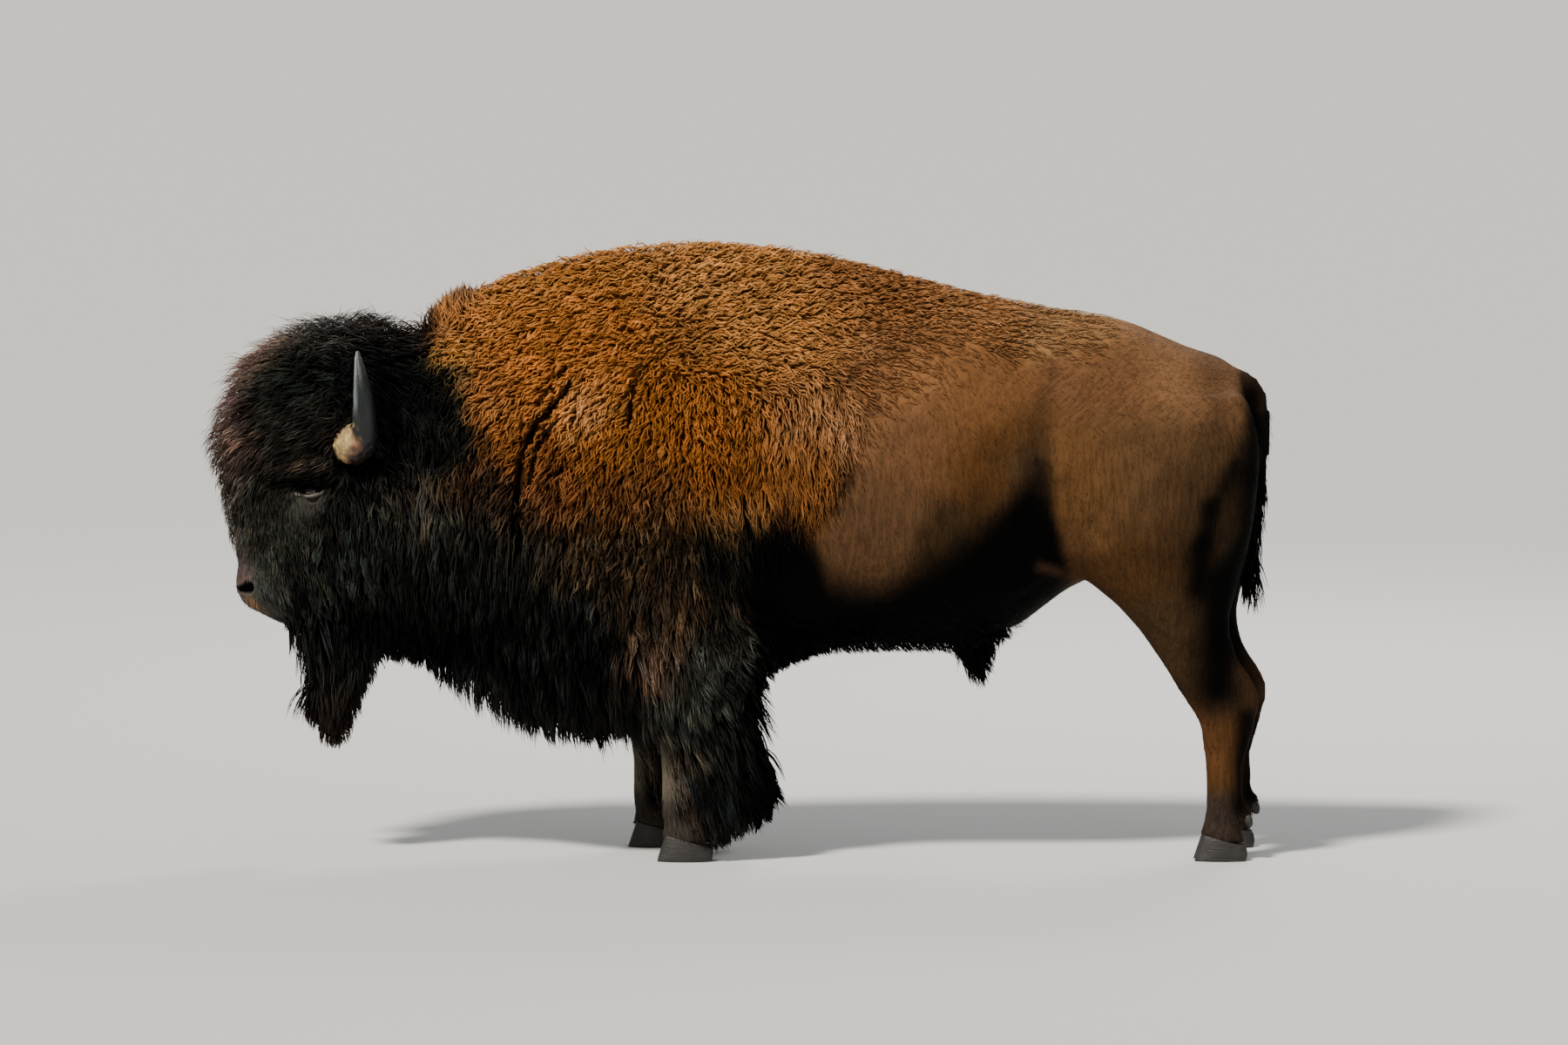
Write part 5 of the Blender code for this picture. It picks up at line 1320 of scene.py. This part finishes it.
for k in np.flatnonzero(coat["length"] > LONG_HAIR):
    base = roots[k] + outward[k] * room[k] * RISEN
    for _ in range(3):
        end = base + lie[k] * longest[k]
        place, away, _, _ = tree.find_nearest(Vector(end))
        beyond = (Vector(end) - place).dot(away)
        if beyond > allowed[k]:
            cut = 1.1 * (beyond - allowed[k] + 0.5 * MOST_BEYOND)
            longest[k] = max(SHORTEST, longest[k] - cut)
for share in (1.0, 0.75, 0.5, 0.25):
    ahead = roots + outward * room[:, None] * RISEN + lie * (coat["length"] * share)[:, None]
    crossing = to_partings(near_side(ahead))[0] < 1.0
    longest[crossing] = np.minimum(longest[crossing], coat["length"][crossing] * (share - 0.12))
print("room from", round(float(room.min()), 4), "to", round(float(room.max()), 3), "m")

# %% [markdown]
# One lock is a thin, closed, three-sided spike. It leaves the skin, rises through the room, then
# runs along the lie of the hair. Neighbours lean towards a shared tip, which gives the broken,
# overlapping surface that loose hair has. Each strand is a little lighter or darker than the next,
# and a lock is darkest at its root, partly as painted shade among the locks and partly as the
# hair's darker base. All locks of a piece are worked out together as arrays.

# %% Grow the locks
PATCH = 0.0015  # half the size of a lock's patch on the unwrap
ALONG_STAYS = 0.75  # share of a lock's place along the lie that it keeps when it joins a strand
WIDEST, PRESSED_IN = 0.383, 0.6  # from this far out, locks are pressed back in by that share
CUT = (0.70, 1.20)  # least and most of a place's length that a lock grows to
RISES = (0.45, 1.0)  # least and most of the room that it rises through
LIES, STANDS = 0.022, 0.045  # lengths between which hair goes from lying flat to standing
CLINGS, HANGS = 0.05, 0.11  # lengths between which it goes from clinging to hanging clear
PROFILE = ((0, 0.3, 0.6, 1), (0.6, 1.0, 0.8, 0.25))  # share of the way along, and of the width
SPREAD, DARK_SPREAD = 0.15, 0.42  # how much tone varies between strands, and more in dark hair
LIGHT_HAIR, DARK_HAIR = 0.16, 0.04  # red in the tips from which hair counts as light, or as dark
LOCK_SPREAD = 0.12  # how much tone varies within a strand
MOST_ODD = 1.5  # no strand differs by more than this many spreads
TUFT_TONE, TUFT_SIZE = 0.20, 0.035  # tone that varies from tuft to tuft
DRIFT_TONE, DRIFT_SIZE = 0.9, 0.09  # tone that drifts over dark hair, for each unit of spread
ALL_BRIGHTER = 1.22  # locks shade one another, so their tips start this much brighter
# darker roots: painted shade among the locks, and the hair's own darker base
ROOT_DARK, ROOT_DARKER = 0.64, 0.28  # how dark roots are, and how much more so in dark hair


def direction(facts, away, chance):
    """The way each lock runs: along the skin, or hanging clear of it where the hair is long."""
    lie = unit(facts["lie"])
    against = (lie * away).sum(axis=1)[:, None]
    hang = ease(facts["length"], CLINGS, HANGS)[:, None]
    flat = unit(lie - against * away)
    hanging = unit(lie - np.minimum(against, 0) * away)
    run = flat * (1 - hang) + hanging * hang
    run = unit(run + facts["wild"][:, None] * chance.normal(0, 0.75, run.shape))
    return unit(run - np.minimum((run * away).sum(axis=1), -0.02)[:, None] * away)


def leaders(root, clump, chance):
    """For each lock, the one nearby whose tip it leans towards."""
    heads = chance.choice(len(root), max(1, len(root) // clump), replace=False)
    near = kdtree.KDTree(len(heads))
    for k, head in enumerate(heads):
        near.insert(root[head], k)
    near.balance()
    return heads[[near.find(place)[1] for place in root]]


def paths(root, away, run, aside, length, lift, leader, facts, steps, chance):
    """The places along each lock, from the root to the tip."""
    count, joints = len(root), len(steps) - 1
    apart = away_from(root[leader], root)
    phase = chance.uniform(0, 2 * math.pi, count)[leader] + chance.normal(0, 0.5, count)
    curl = facts["crimp"] * chance.uniform(0.5, 1.3, count)
    waves = np.clip(length / 0.028, 0.5, 0.36 * joints)
    path = np.empty((joints + 1, count, 3))
    for k, t in enumerate(steps):
        rise = math.sin(math.pi * 0.64 * t**0.75)
        sway = curl * np.sin(phase + 2 * math.pi * waves * t) * min(1, 1.6 * t)
        forward = length * (t - 0.25 * t * (1 - t))
        heave = 0.55 * curl * np.cos(phase + 2 * math.pi * waves * t) * math.sin(math.pi * t)
        path[k] = root + away * (lift * rise + heave - 0.0015 * (1 - t))[:, None]
        path[k] += run * forward[:, None] + aside * sway[:, None]
    pull = facts["gather"] * ease(apart, 0.06, 0.02)
    for k, t in enumerate(steps):
        toward = path[k][leader] - path[k]
        toward -= run * ((toward * run).sum(axis=1) * ALONG_STAYS)[:, None]
        path[k] += toward * (pull * t**1.4)[:, None]
    past = np.maximum(np.abs(path[:, :, 1]) - WIDEST, 0)
    path[:, :, 1] -= PRESSED_IN * past * np.sign(path[:, :, 1])
    return path


def spikes(path, away, aside, halves, crest):
    """The corners of every lock, a triangle at each joint and a tip, and the faces of one lock."""
    joints = len(path) - 1
    rings = np.empty((path.shape[1], joints * 3 + 1, 3))
    for k, half in enumerate(halves):
        rings[:, 3 * k] = path[k] - aside * half
        rings[:, 3 * k + 1] = path[k] + away * half * crest
        rings[:, 3 * k + 2] = path[k] + aside * half
    rings[:, -1] = path[-1]
    faces = [(0, 1, 2)]
    for k in range(joints - 1):
        for i in range(3):
            here, there = 3 * k + i, 3 * k + (i + 1) % 3
            faces += [(here, here + 3, there), (there, here + 3, there + 3)]
    last = 3 * (joints - 1)
    faces += [(last + i, last + 3, last + (i + 1) % 3) for i in range(3)]
    first = rings[0]
    volume = sum(np.dot(first[i], np.cross(first[j], first[k])) for i, j, k in faces)
    faces = np.array(faces)
    return rings, faces if volume >= 0 else faces[:, ::-1]


def lock_mesh(name, rings, faces):
    """Mesh data with every lock's corners and faces, and the corners of all faces in a row."""
    count, each = rings.shape[:2]
    corners = (faces[None] + (np.arange(count) * each)[:, None, None]).reshape(-1, 3)
    data = bpy.data.meshes.new(name)
    data.vertices.add(count * each)
    data.vertices.foreach_set("co", rings.ravel())
    data.loops.add(corners.size)
    data.loops.foreach_set("vertex_index", corners.ravel())
    data.polygons.add(len(corners))
    data.polygons.foreach_set("loop_start", np.arange(0, corners.size, 3))
    data.update(calc_edges=True)
    return data, corners.ravel()


def strand_tones(root, tip, leader, length, chance):
    """The colour of each lock's tip, varied from strand to strand."""
    count = len(root)
    spread = SPREAD + DARK_SPREAD * ease(tip[:, 0], LIGHT_HAIR, DARK_HAIR)
    spread *= ease(length, 0.018, 0.040)
    strand = np.clip(chance.normal(0, 1, count), -MOST_ODD, MOST_ODD)[leader]
    tone = strand * spread + chance.normal(0, LOCK_SPREAD, count)
    tone += TUFT_TONE * ripples(root * (1, 1, 0.45), TUFT_SIZE, 9) * (0.5 + 2 * spread)
    more = np.maximum(spread - SPREAD, 0)
    tone += DRIFT_TONE * more * ripples(root * (1, 1, 0.5), DRIFT_SIZE, 11)
    warm = np.clip(chance.normal(0, 1, count), -MOST_ODD, MOST_ODD)[leader]
    warm = warm * (0.02 + 0.12 * spread)
    return tip * (np.exp(tone)[:, None] * np.exp(warm[:, None] * (1, 0, -1)))


def root_to_tip(tip, length, along):
    """A colour for every corner of every lock, darker towards the root of long hair: partly painted
    shade among the locks, partly the hair's darker base.
    """
    shaded = ease(length, 0.018, 0.045)[:, None, None]
    tip = tip * (ALL_BRIGHTER - 0.10 * shaded[:, 0])
    deep = ROOT_DARK + ROOT_DARKER * ease(tip[:, :1], 0.10, 0.02)[:, None]
    dark = 1 - shaded * (deep + np.array((0, 0.04, 0.06))) - (1 - shaded) * 0.06
    blend_in = ease(along, 0.10, 0.85)[None, :, None]
    return tip[:, None, :] * (dark + (1.04 - dark) * blend_in)


def grown(name, look, chosen, joints, clump, seed):
    """Makes one piece of all the chosen locks, each with that many joints and a tip."""
    chance = np.random.default_rng(seed)
    count = len(chosen)
    root, away = roots[chosen], outward[chosen]
    facts = {key: value[chosen] for key, value in coat.items()}
    length = facts["length"] * chance.uniform(*CUT, count)
    length = np.minimum(length, longest[chosen] * chance.uniform(0.85, 1.10, count))
    run = direction(facts, away, chance)
    aside = unit(np.cross(run, away))
    stand = 0.07 + 0.73 * ease(facts["length"], LIES, STANDS)
    lift = np.minimum(room[chosen] * chance.uniform(*RISES, count), stand * length)
    leader = leaders(root, clump, chance)
    steps = np.linspace(0, 1, joints + 1)
    path = paths(root, away, run, aside, length, lift, leader, facts, steps, chance)
    width = facts["width"] * chance.uniform(0.65, 1.35, count)
    halves = [(width * share / 2)[:, None] for share in np.interp(steps[:-1], *PROFILE)]
    crest = 0.22 + 0.58 * ease(facts["length"], LIES, STANDS)[:, None]
    rings, faces = spikes(path, away, aside, halves, crest)
    data, corners = lock_mesh(name, rings, faces)
    along = np.append(np.repeat(steps[:-1], 3), 1.0)
    across = np.append(np.tile((-1.0, 0.0, 1.0), joints), 0.0)
    spots = patch[chosen][:, None, :] + PATCH * np.stack((across, 2 * along - 1), 1)[None]
    flat_map = data.uv_layers.new(name="OFBake")
    flat_map.data.foreach_set("uv", spots.reshape(-1, 2)[corners].ravel())
    tip = shade_at(root + run * (length * 0.75)[:, None])
    tip = strand_tones(root, tip, leader, facts["length"], chance)
    paint(data, "hair", root_to_tip(tip, facts["length"], along).reshape(-1, 3))
    show(data, name, look)
    print(f"{name}: {count} locks, {len(corners) // 3} triangles")


lock_look, tint = painted_look("hair", "hair", Roughness=0.55, Specular_IOR_Level=0.04)
lock_look.feed(lock_look.shader, {"Base Color": tint})

x, y, z = roots.T
reach = coat["length"]
regions = {
    # name: (where, slot, joints in a lock, locks in a strand); each takes what is left
    "head": (x < -0.99, "mane", 3, 7),
    "mane": ((x >= -0.99) & ((x < -0.86) | ((z < 0.86) & (x < 0.13))), "mane", 4, 13),
    "cape": ((x >= -0.86) & (x < 0.36) & (z >= 0.86) & (reach > 0.030), "cape", 4, 5),
    "coat": ((x >= 0.13) | (z >= 0.86), "coat", 2, 6),
}
MOST_TRIANGLES = 190000
done = np.zeros(len(roots), bool)
total = 0
for seed, (name, (mask, slot, joints, clump)) in enumerate(regions.items()):
    for side, word in ((LEFT, "left"), (RIGHT, "right")):
        chosen = np.flatnonzero(mask & ~done & ((y > 0) == (side > 0)))
        chosen = chosen[np.argsort(x[chosen])]
        triangles = joints * 6 - 2
        shares = math.ceil(len(chosen) * triangles / MOST_TRIANGLES)
        for k, some in enumerate(np.array_split(chosen, shares)):
            label = f"{name}_hair_{word}" + (f"_{k + 1}" if shares > 1 else "")
            grown(label, lock_look, some, joints, clump, 100 * seed + 10 * (side > 0) + k)
            total += len(some) * triangles
    done |= mask
print("the coat has", total, "triangles in all")

# %% [markdown]
# ## Horns
# A bison's horn leaves the skull sideways, through a rough collar of young horn, and turns up. It
# is swept along a path: rings of vertices, each square to the path, bridged one to the next. The
# collar gets knobs, the shaft faint growth rings, and both take their colour from one attribute:
# tan on the collar, turning reddish and near-black brown behind and below, partly the horn's own
# colour and partly painted shade on the side away from the sun, and black on the shaft, whose
# front is painted paler, a painted highlight that also stands for wear.

# %% Sweep the horns
HORN_PATH = [
    # x, y, z, radius
    (-1.135, -0.11, 1.23, 0.05),
    (-1.133, -0.15, 1.219, 0.056),
    (-1.124, -0.195, 1.215, 0.057),
    (-1.112, -0.234, 1.224, 0.055),
    (-1.097, -0.262, 1.245, 0.049),
    (-1.087, -0.283, 1.285, 0.039),
    (-1.087, -0.289, 1.328, 0.0335),
    (-1.0915, -0.286, 1.383, 0.026),
    (-1.099, -0.276, 1.438, 0.0165),
    (-1.105, -0.264, 1.475, 0.0085),
    (-1.1065, -0.2615, 1.49, 0.0032),
]
HORN_RINGS, HORN_SIDES = 84, 48
COLLAR_END = 0.45  # share of the way to the tip
# the collar's colours; its red-brown and near-black brown behind and below are partly painted shade
HORN_TAN, HORN_RED, HORN_BROWN = (0.36, 0.245, 0.110), (0.150, 0.070, 0.040), (0.012, 0.007, 0.005)
HORN_DARK = (0.0105, 0.0120, 0.0118)
# how much paler the front of the shaft is painted, a painted highlight that also stands for wear, and
# how much paler the tip is
SHEEN_AND_WEAR_PALER, TIP_PALER = 11.0, 3.0
KNOBS_HIGH, GROWTH_HIGH, SHAFT_SUNK = 0.0055, 0.0005, 0.004
GROWTH_WAVES = 190  # the wave of the growth rings from root to tip, in radians
HORN_FOOT = 1.225  # height of the collar's middle, from which its colours slant

shares = np.linspace(0, 1, len(HORN_PATH))
tracks = [through(*zip(shares, column)) for column in zip(*HORN_PATH)]
along = np.linspace(0, 1, HORN_RINGS) ** 0.9
track = np.stack([line(along) for line in tracks], 1)
heading = unit(np.gradient(track[:, :3], axis=0))
mesh = bmesh.new()
rings = []
for place, ahead in zip(track, heading):
    turn = Vector(ahead).to_track_quat("Z", "X").to_matrix().to_4x4()
    matrix = Matrix.Translation(place[:3]) @ turn
    rings.append(ring_of(circle(mesh, HORN_SIDES, matrix, place[3])))
bridged(mesh, rings, HORN_SIDES)
bmesh.ops.recalc_face_normals(mesh, faces=mesh.faces)
mirrored(mesh)
horns = finished(mesh, "horns")

points = places(horns)
left, _ = folded(points)
nearest = away_from(left[:, None], track[None, :, :3]).argmin(axis=1)
share = along[nearest]
behind = ease(left[:, 0], -1.105, -1.062)
collar = ease(share, COLLAR_END + 0.05, COLLAR_END - 0.07)
knobs = ripples(left, 0.016, 4) * 0.6 + ripples(left, 0.008, 5) * 0.6
lines = np.sin(share * GROWTH_WAVES + 2.5 * ripples(left, 0.05, 6)) * ease(share, 0.75, 0.35)
step_down = -SHAFT_SUNK * ease(share, COLLAR_END - 0.02, COLLAR_END + 0.04) * ease(share, 0.75, 0.4)
swell = collar * (KNOBS_HIGH * knobs - 0.001) + (1 - collar) * GROWTH_HIGH * lines + step_down
points += normals(horns) * swell[:, None]
put(horns, points)
# the shaft's black reaches further down behind: partly the horn's colour, partly painted shade
cover = share + 0.05 * ripples(left, 0.02, 7) + 0.16 * behind
edge = ease(cover, COLLAR_END + 0.03, COLLAR_END - 0.03)
blotch = np.exp(0.50 * ripples(left, 0.010, 8) + 0.34 * ripples(left, 0.026, 9))[:, None]
uneven = 0.012 * ripples(left, 0.025, 12)
above = left[:, 2] - HORN_FOOT
# red-brown, then near-black, towards the back and bottom of the collar: partly the horn's own colour,
# partly painted shade on the side away from the sun
red = ease(left[:, 0] + uneven - 0.35 * above, -1.140, -1.115)[:, None]
brown = ease(left[:, 0] + uneven - 0.90 * above, -1.098, -1.070)[:, None]
tan = np.array(HORN_TAN) * (1 - red) + np.array(HORN_RED) * red
tan = tan * (1 - brown) + np.array(HORN_BROWN) * brown
scuffs = np.exp(0.35 * ripples(left * (1, 1, 0.15), 0.006, 10))[:, None]
pale_tip = 1 + TIP_PALER * ease(share, 0.72, 1.0)[:, None]
horn_colours = edge[:, None] * tan * blotch
# painted highlight on the front of the upper shaft, where the sun falls, which also stands for wear
sheen_and_wear = ease(-normals(horns)[:, 0], 0.40, 0.85) * ease(left[:, 2], 1.29, 1.36)
sheen_and_wear = 1 + SHEEN_AND_WEAR_PALER * sheen_and_wear[:, None]
horn_colours += (1 - edge)[:, None] * np.array(HORN_DARK) * scuffs * pale_tip * sheen_and_wear
paint(horns, "horn", horn_colours)
horn_look, tint = painted_look("horn", "horn", Specular_IOR_Level=0.28)
streaks = horn_look.grain(420, horn_look.place(scale=(1, 1, 0.10)))
pits = horn_look.grain(150, horn_look.place(), 4)
horn_look.feed(
    horn_look.shader,
    {
        "Base Color": horn_look.shaded(tint, 0.70 + streaks * 0.35 + pits * 0.25),
        "Roughness": 0.24 + streaks * 0.22,
        "Normal": horn_look.bump(streaks + pits, 0.002, 0.5),
    },
)
piece = show(horns, "horns", horn_look)
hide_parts("horn_left", "horn_right")
print("horns of", len(horns.polygons), "faces")

# %% [markdown]
# ## Eyes
# The eye is a ball with a dark brown iris and the level pupil of a grazer. The wet layer over it is
# the shader's coat, which gives the small bright window of light that makes an eye look alive.

# %% Eyeballs
IRIS, PUPIL_LONG, PUPIL_HIGH = 0.0125, 0.0066, 0.0032
WHITE_OF_EYE, IRIS_BROWN, PUPIL_BLACK = (0.024, 0.014, 0.010), (0.016, 0.008, 0.005), 0.002
mesh = bmesh.new()
turn = Vector(eye_out).to_track_quat("Z", "Y").to_matrix().to_4x4()
matrix = Matrix.Translation(EYE) @ turn
bmesh.ops.create_uvsphere(mesh, u_segments=64, v_segments=48, radius=EYE_RADIUS, matrix=matrix)
mirrored(mesh)
eyes = finished(mesh, "eyes")
left, _ = folded(places(eyes))
back, up, out = around_eye(left)
across = np.hypot(back, up)
in_iris = ease(across, IRIS + 0.0008, IRIS - 0.0008)[:, None] * (out > 0)[:, None]
in_pupil = ease(np.hypot(back / PUPIL_LONG, up / PUPIL_HIGH), 1.15, 0.9)[:, None]
rays = 1 + 0.25 * np.sin(np.arctan2(up, back) * 23)[:, None]
colours = (1 - in_iris) * WHITE_OF_EYE + in_iris * rays * IRIS_BROWN
colours = colours * (1 - in_pupil * in_iris) + PUPIL_BLACK * in_pupil * in_iris
paint(eyes, "eye", colours)
sockets = {"Roughness": 0.10, "Coat Weight": 0.35, "Coat Roughness": 0.02}
eye_look, tint = painted_look("wet eye", "eye", **sockets)
eye_look.feed(eye_look.shader, {"Base Color": tint})
piece = show(eyes, "eyes", eye_look)
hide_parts("eye_left", "eye_right")
print("eyeballs", EYE_RADIUS * 2000, "mm across, set", round(float(-EYE[1]), 3), "m off the middle")

# %% [markdown]
# ## Hooves
# Each foot stands on two toes. A toe is a loft that narrows to the front, is flat where it meets
# its fellow, and slopes down from the instep to the heel. Growth rings run round the wall.

# %% Toes and dewclaws
TOE_HIGH, TOE_SLOPE = 0.0765, 0.27  # height in front, and how steeply the top falls to the heel
TOE_OUT, TOE_HALF = 0.031, 0.0290  # how far a toe lies off the foot's middle, and half its width
TOE_LEANS = 0.026  # how far the front of the wall lies further back at the top
TOE_RINGS, TOE_SIDES = 18, 40
INNER_WALL = 0.72  # how much less than the outer wall the inner one bulges
TOE_BLUNT = 0.72  # below 1, the sides of a toe stay parallel for longer
CLAW_RADII, CLAW_OUT, CLAW_HIGH = (0.0135, 0.0115, 0.0190), 0.024, 0.116


def toe(mesh, front, length, middle, side):
    """One toe of a cloven hoof, with its inner wall flat."""
    rings = []
    middle += side * TOE_OUT
    for k in range(TOE_RINGS + 1):
        share = k / TOE_RINGS
        bulge = math.sin(math.pi * share)
        near, far = front + TOE_LEANS * share, front + length + 0.004 * bulge
        centre, half_x = (near + far) / 2, (far - near) / 2
        half_y = TOE_HALF - 0.0035 * share + 0.0010 * bulge
        half_y -= 0.0020 * (1 - min(1, share / 0.12)) ** 2
        matrix = Matrix.Translation((centre, middle, TOE_HIGH * share))
        matrix @= Matrix.Diagonal((half_x, half_y, 1, 1))
        made = circle(mesh, TOE_SIDES, matrix)
        for vertex in made:
            u = (vertex.co.x - centre) / half_x
            v = (vertex.co.y - middle) / half_y
            v = math.copysign(abs(v) ** TOE_BLUNT, v)
            v *= 1 - 0.42 * max(0, -u) ** 2.2 - 0.10 * max(0, u) ** 3
            v *= INNER_WALL if v * side < 0 else 1.0
            growth = 0.0006 * math.sin(share * 46 + 1.2 * u) * (share > 0.05)
            vertex.co.y = middle + v * (half_y + growth)
            vertex.co.z -= share * TOE_SLOPE * (vertex.co.x - front - TOE_LEANS)
        rings.append(ring_of(made))
    bridged(mesh, rings, TOE_SIDES)


hoof_look = Look("hoof", Specular_IOR_Level=0.4)
rings_in = hoof_look.grain(60, hoof_look.place(scale=(0.5, 0.5, 5.0)), 3)
grit = hoof_look.grain(240, hoof_look.place(), 4)
warm = hoof_look.grain(22, hoof_look.place(), 3)
stops = [(0.30, (0.008, 0.007, 0.006)), (0.55, (0.019, 0.016, 0.013)), (0.80, (0.055, 0.044, 0.034))]
growth = rings_in * 0.6 + warm * 0.4
wall = hoof_look.node("ShaderNodeValToRGB", {"stops": stops}, {0: growth}).outputs[0]
hoof_look.feed(
    hoof_look.shader,
    {
        "Base Color": wall,
        "Roughness": 0.42 + grit * 0.25,
        "Normal": hoof_look.bump(rings_in * 0.7 + grit * 0.4, 0.0025, 0.7),
    },
)
for name, (front, length, middle) in FEET.items():
    for side, letter in ((LEFT, "a"), (RIGHT, "b")):
        mesh = bmesh.new()
        toe(mesh, front, length, middle, side)
        bmesh.ops.recalc_face_normals(mesh, faces=mesh.faces)
        label = f"toe_{name}_{letter}"
        piece = show(finished(mesh, label), label, hoof_look)
        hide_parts(f"hoof_{name}_{letter}")
        if not name.startswith("hind"):
            continue
        mesh = bmesh.new()
        at = (front + length + 0.006, middle + side * CLAW_OUT, CLAW_HIGH)
        for vertex in ball(mesh, at, CLAW_RADII, 24, 16):
            down = max(0.0, (at[2] - vertex.co.z) / 0.0205)
            vertex.co.x += 0.004 * down
            vertex.co.y = at[1] + (vertex.co.y - at[1]) * (1 - 0.25 * down)
        label = f"claw_{name}_{letter}"
        piece = show(finished(mesh, label), label, hoof_look)
        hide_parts(f"dewclaw_{name}_{letter}")
print("eight toes and four dewclaws")

# %% [markdown]
# ## Floor, light and camera
# The animal stands on a wide pale floor under one strong sun from the front left, with a low, cool
# fill from the left rear and a lamp high on the far side that draws the line of the back. The
# camera stands far off with a long lens, as it must to see the whole side without distortion.

# %% Floor, light and camera
FLOOR_HALF = 300
floor_look = Look("pale floor", Base_Color=rgb(0.62, 0.61, 0.59), Roughness=0.9)
mesh = bmesh.new()
bmesh.ops.create_grid(mesh, x_segments=1, y_segments=1, size=FLOOR_HALF)
floor = linked("floor", finished(mesh, "floor"))
floor.data.materials.append(floor_look.material)


def facing(direction):
    """The turn that points a lamp or a camera that way."""
    return direction.to_track_quat("-Z", "Y").to_euler()


def lamp(name, place, aim, size, power, colour=(1, 1, 1)):
    """A soft round light that faces the point aim."""
    light = bpy.data.lights.new(name, "AREA")
    light.shape = "DISK"
    light.size, light.energy, light.color = size, power, colour
    piece = linked(name, light)
    piece.location = place
    piece.rotation_euler = facing(Vector(aim) - Vector(place))


key = bpy.data.lights.new("key", "SUN")
key.energy, key.angle, key.color = 5.6, math.radians(9), (1.0, 0.965, 0.90)
sun = linked("key", key)
sun.rotation_euler = facing(Vector((4.2, 5.2, -7.6)))
lamp("fill", (5.5, -8.0, 2.5), (0, 0, 0.9), 5.0, 110, (0.88, 0.94, 1.0))
lamp("back", (2.5, 6.0, 6.0), (0, 0, 1.0), 3.0, 300)
world = bpy.data.worlds.new("studio")
world.use_nodes = True
backdrop = world.node_tree.nodes["Background"]
backdrop.inputs["Color"].default_value = rgb(0.86, 0.89, 0.92)
backdrop.inputs["Strength"].default_value = 0.30
bpy.context.scene.world = world

AIM = Vector((0.122, 0, 0.972))
DISTANCE = 22.0
SENSOR = 36
FRAME_WIDE = 4.58015  # metres across the picture at that distance
camera = linked("camera", bpy.data.cameras.new("camera"))
camera.data.sensor_width = SENSOR
camera.data.lens = SENSOR * DISTANCE / FRAME_WIDE
camera.location = AIM + DISTANCE * Vector((0, -math.cos(ELEVATION), math.sin(ELEVATION)))
camera.rotation_euler = facing(AIM - camera.location)
bpy.context.scene.camera = camera
print("the camera stands", DISTANCE, "m off with a lens of", round(camera.data.lens, 1), "mm")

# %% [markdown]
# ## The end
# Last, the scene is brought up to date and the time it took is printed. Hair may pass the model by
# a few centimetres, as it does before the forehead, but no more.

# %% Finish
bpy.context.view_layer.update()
print("made in", round(time.time() - started), "s")
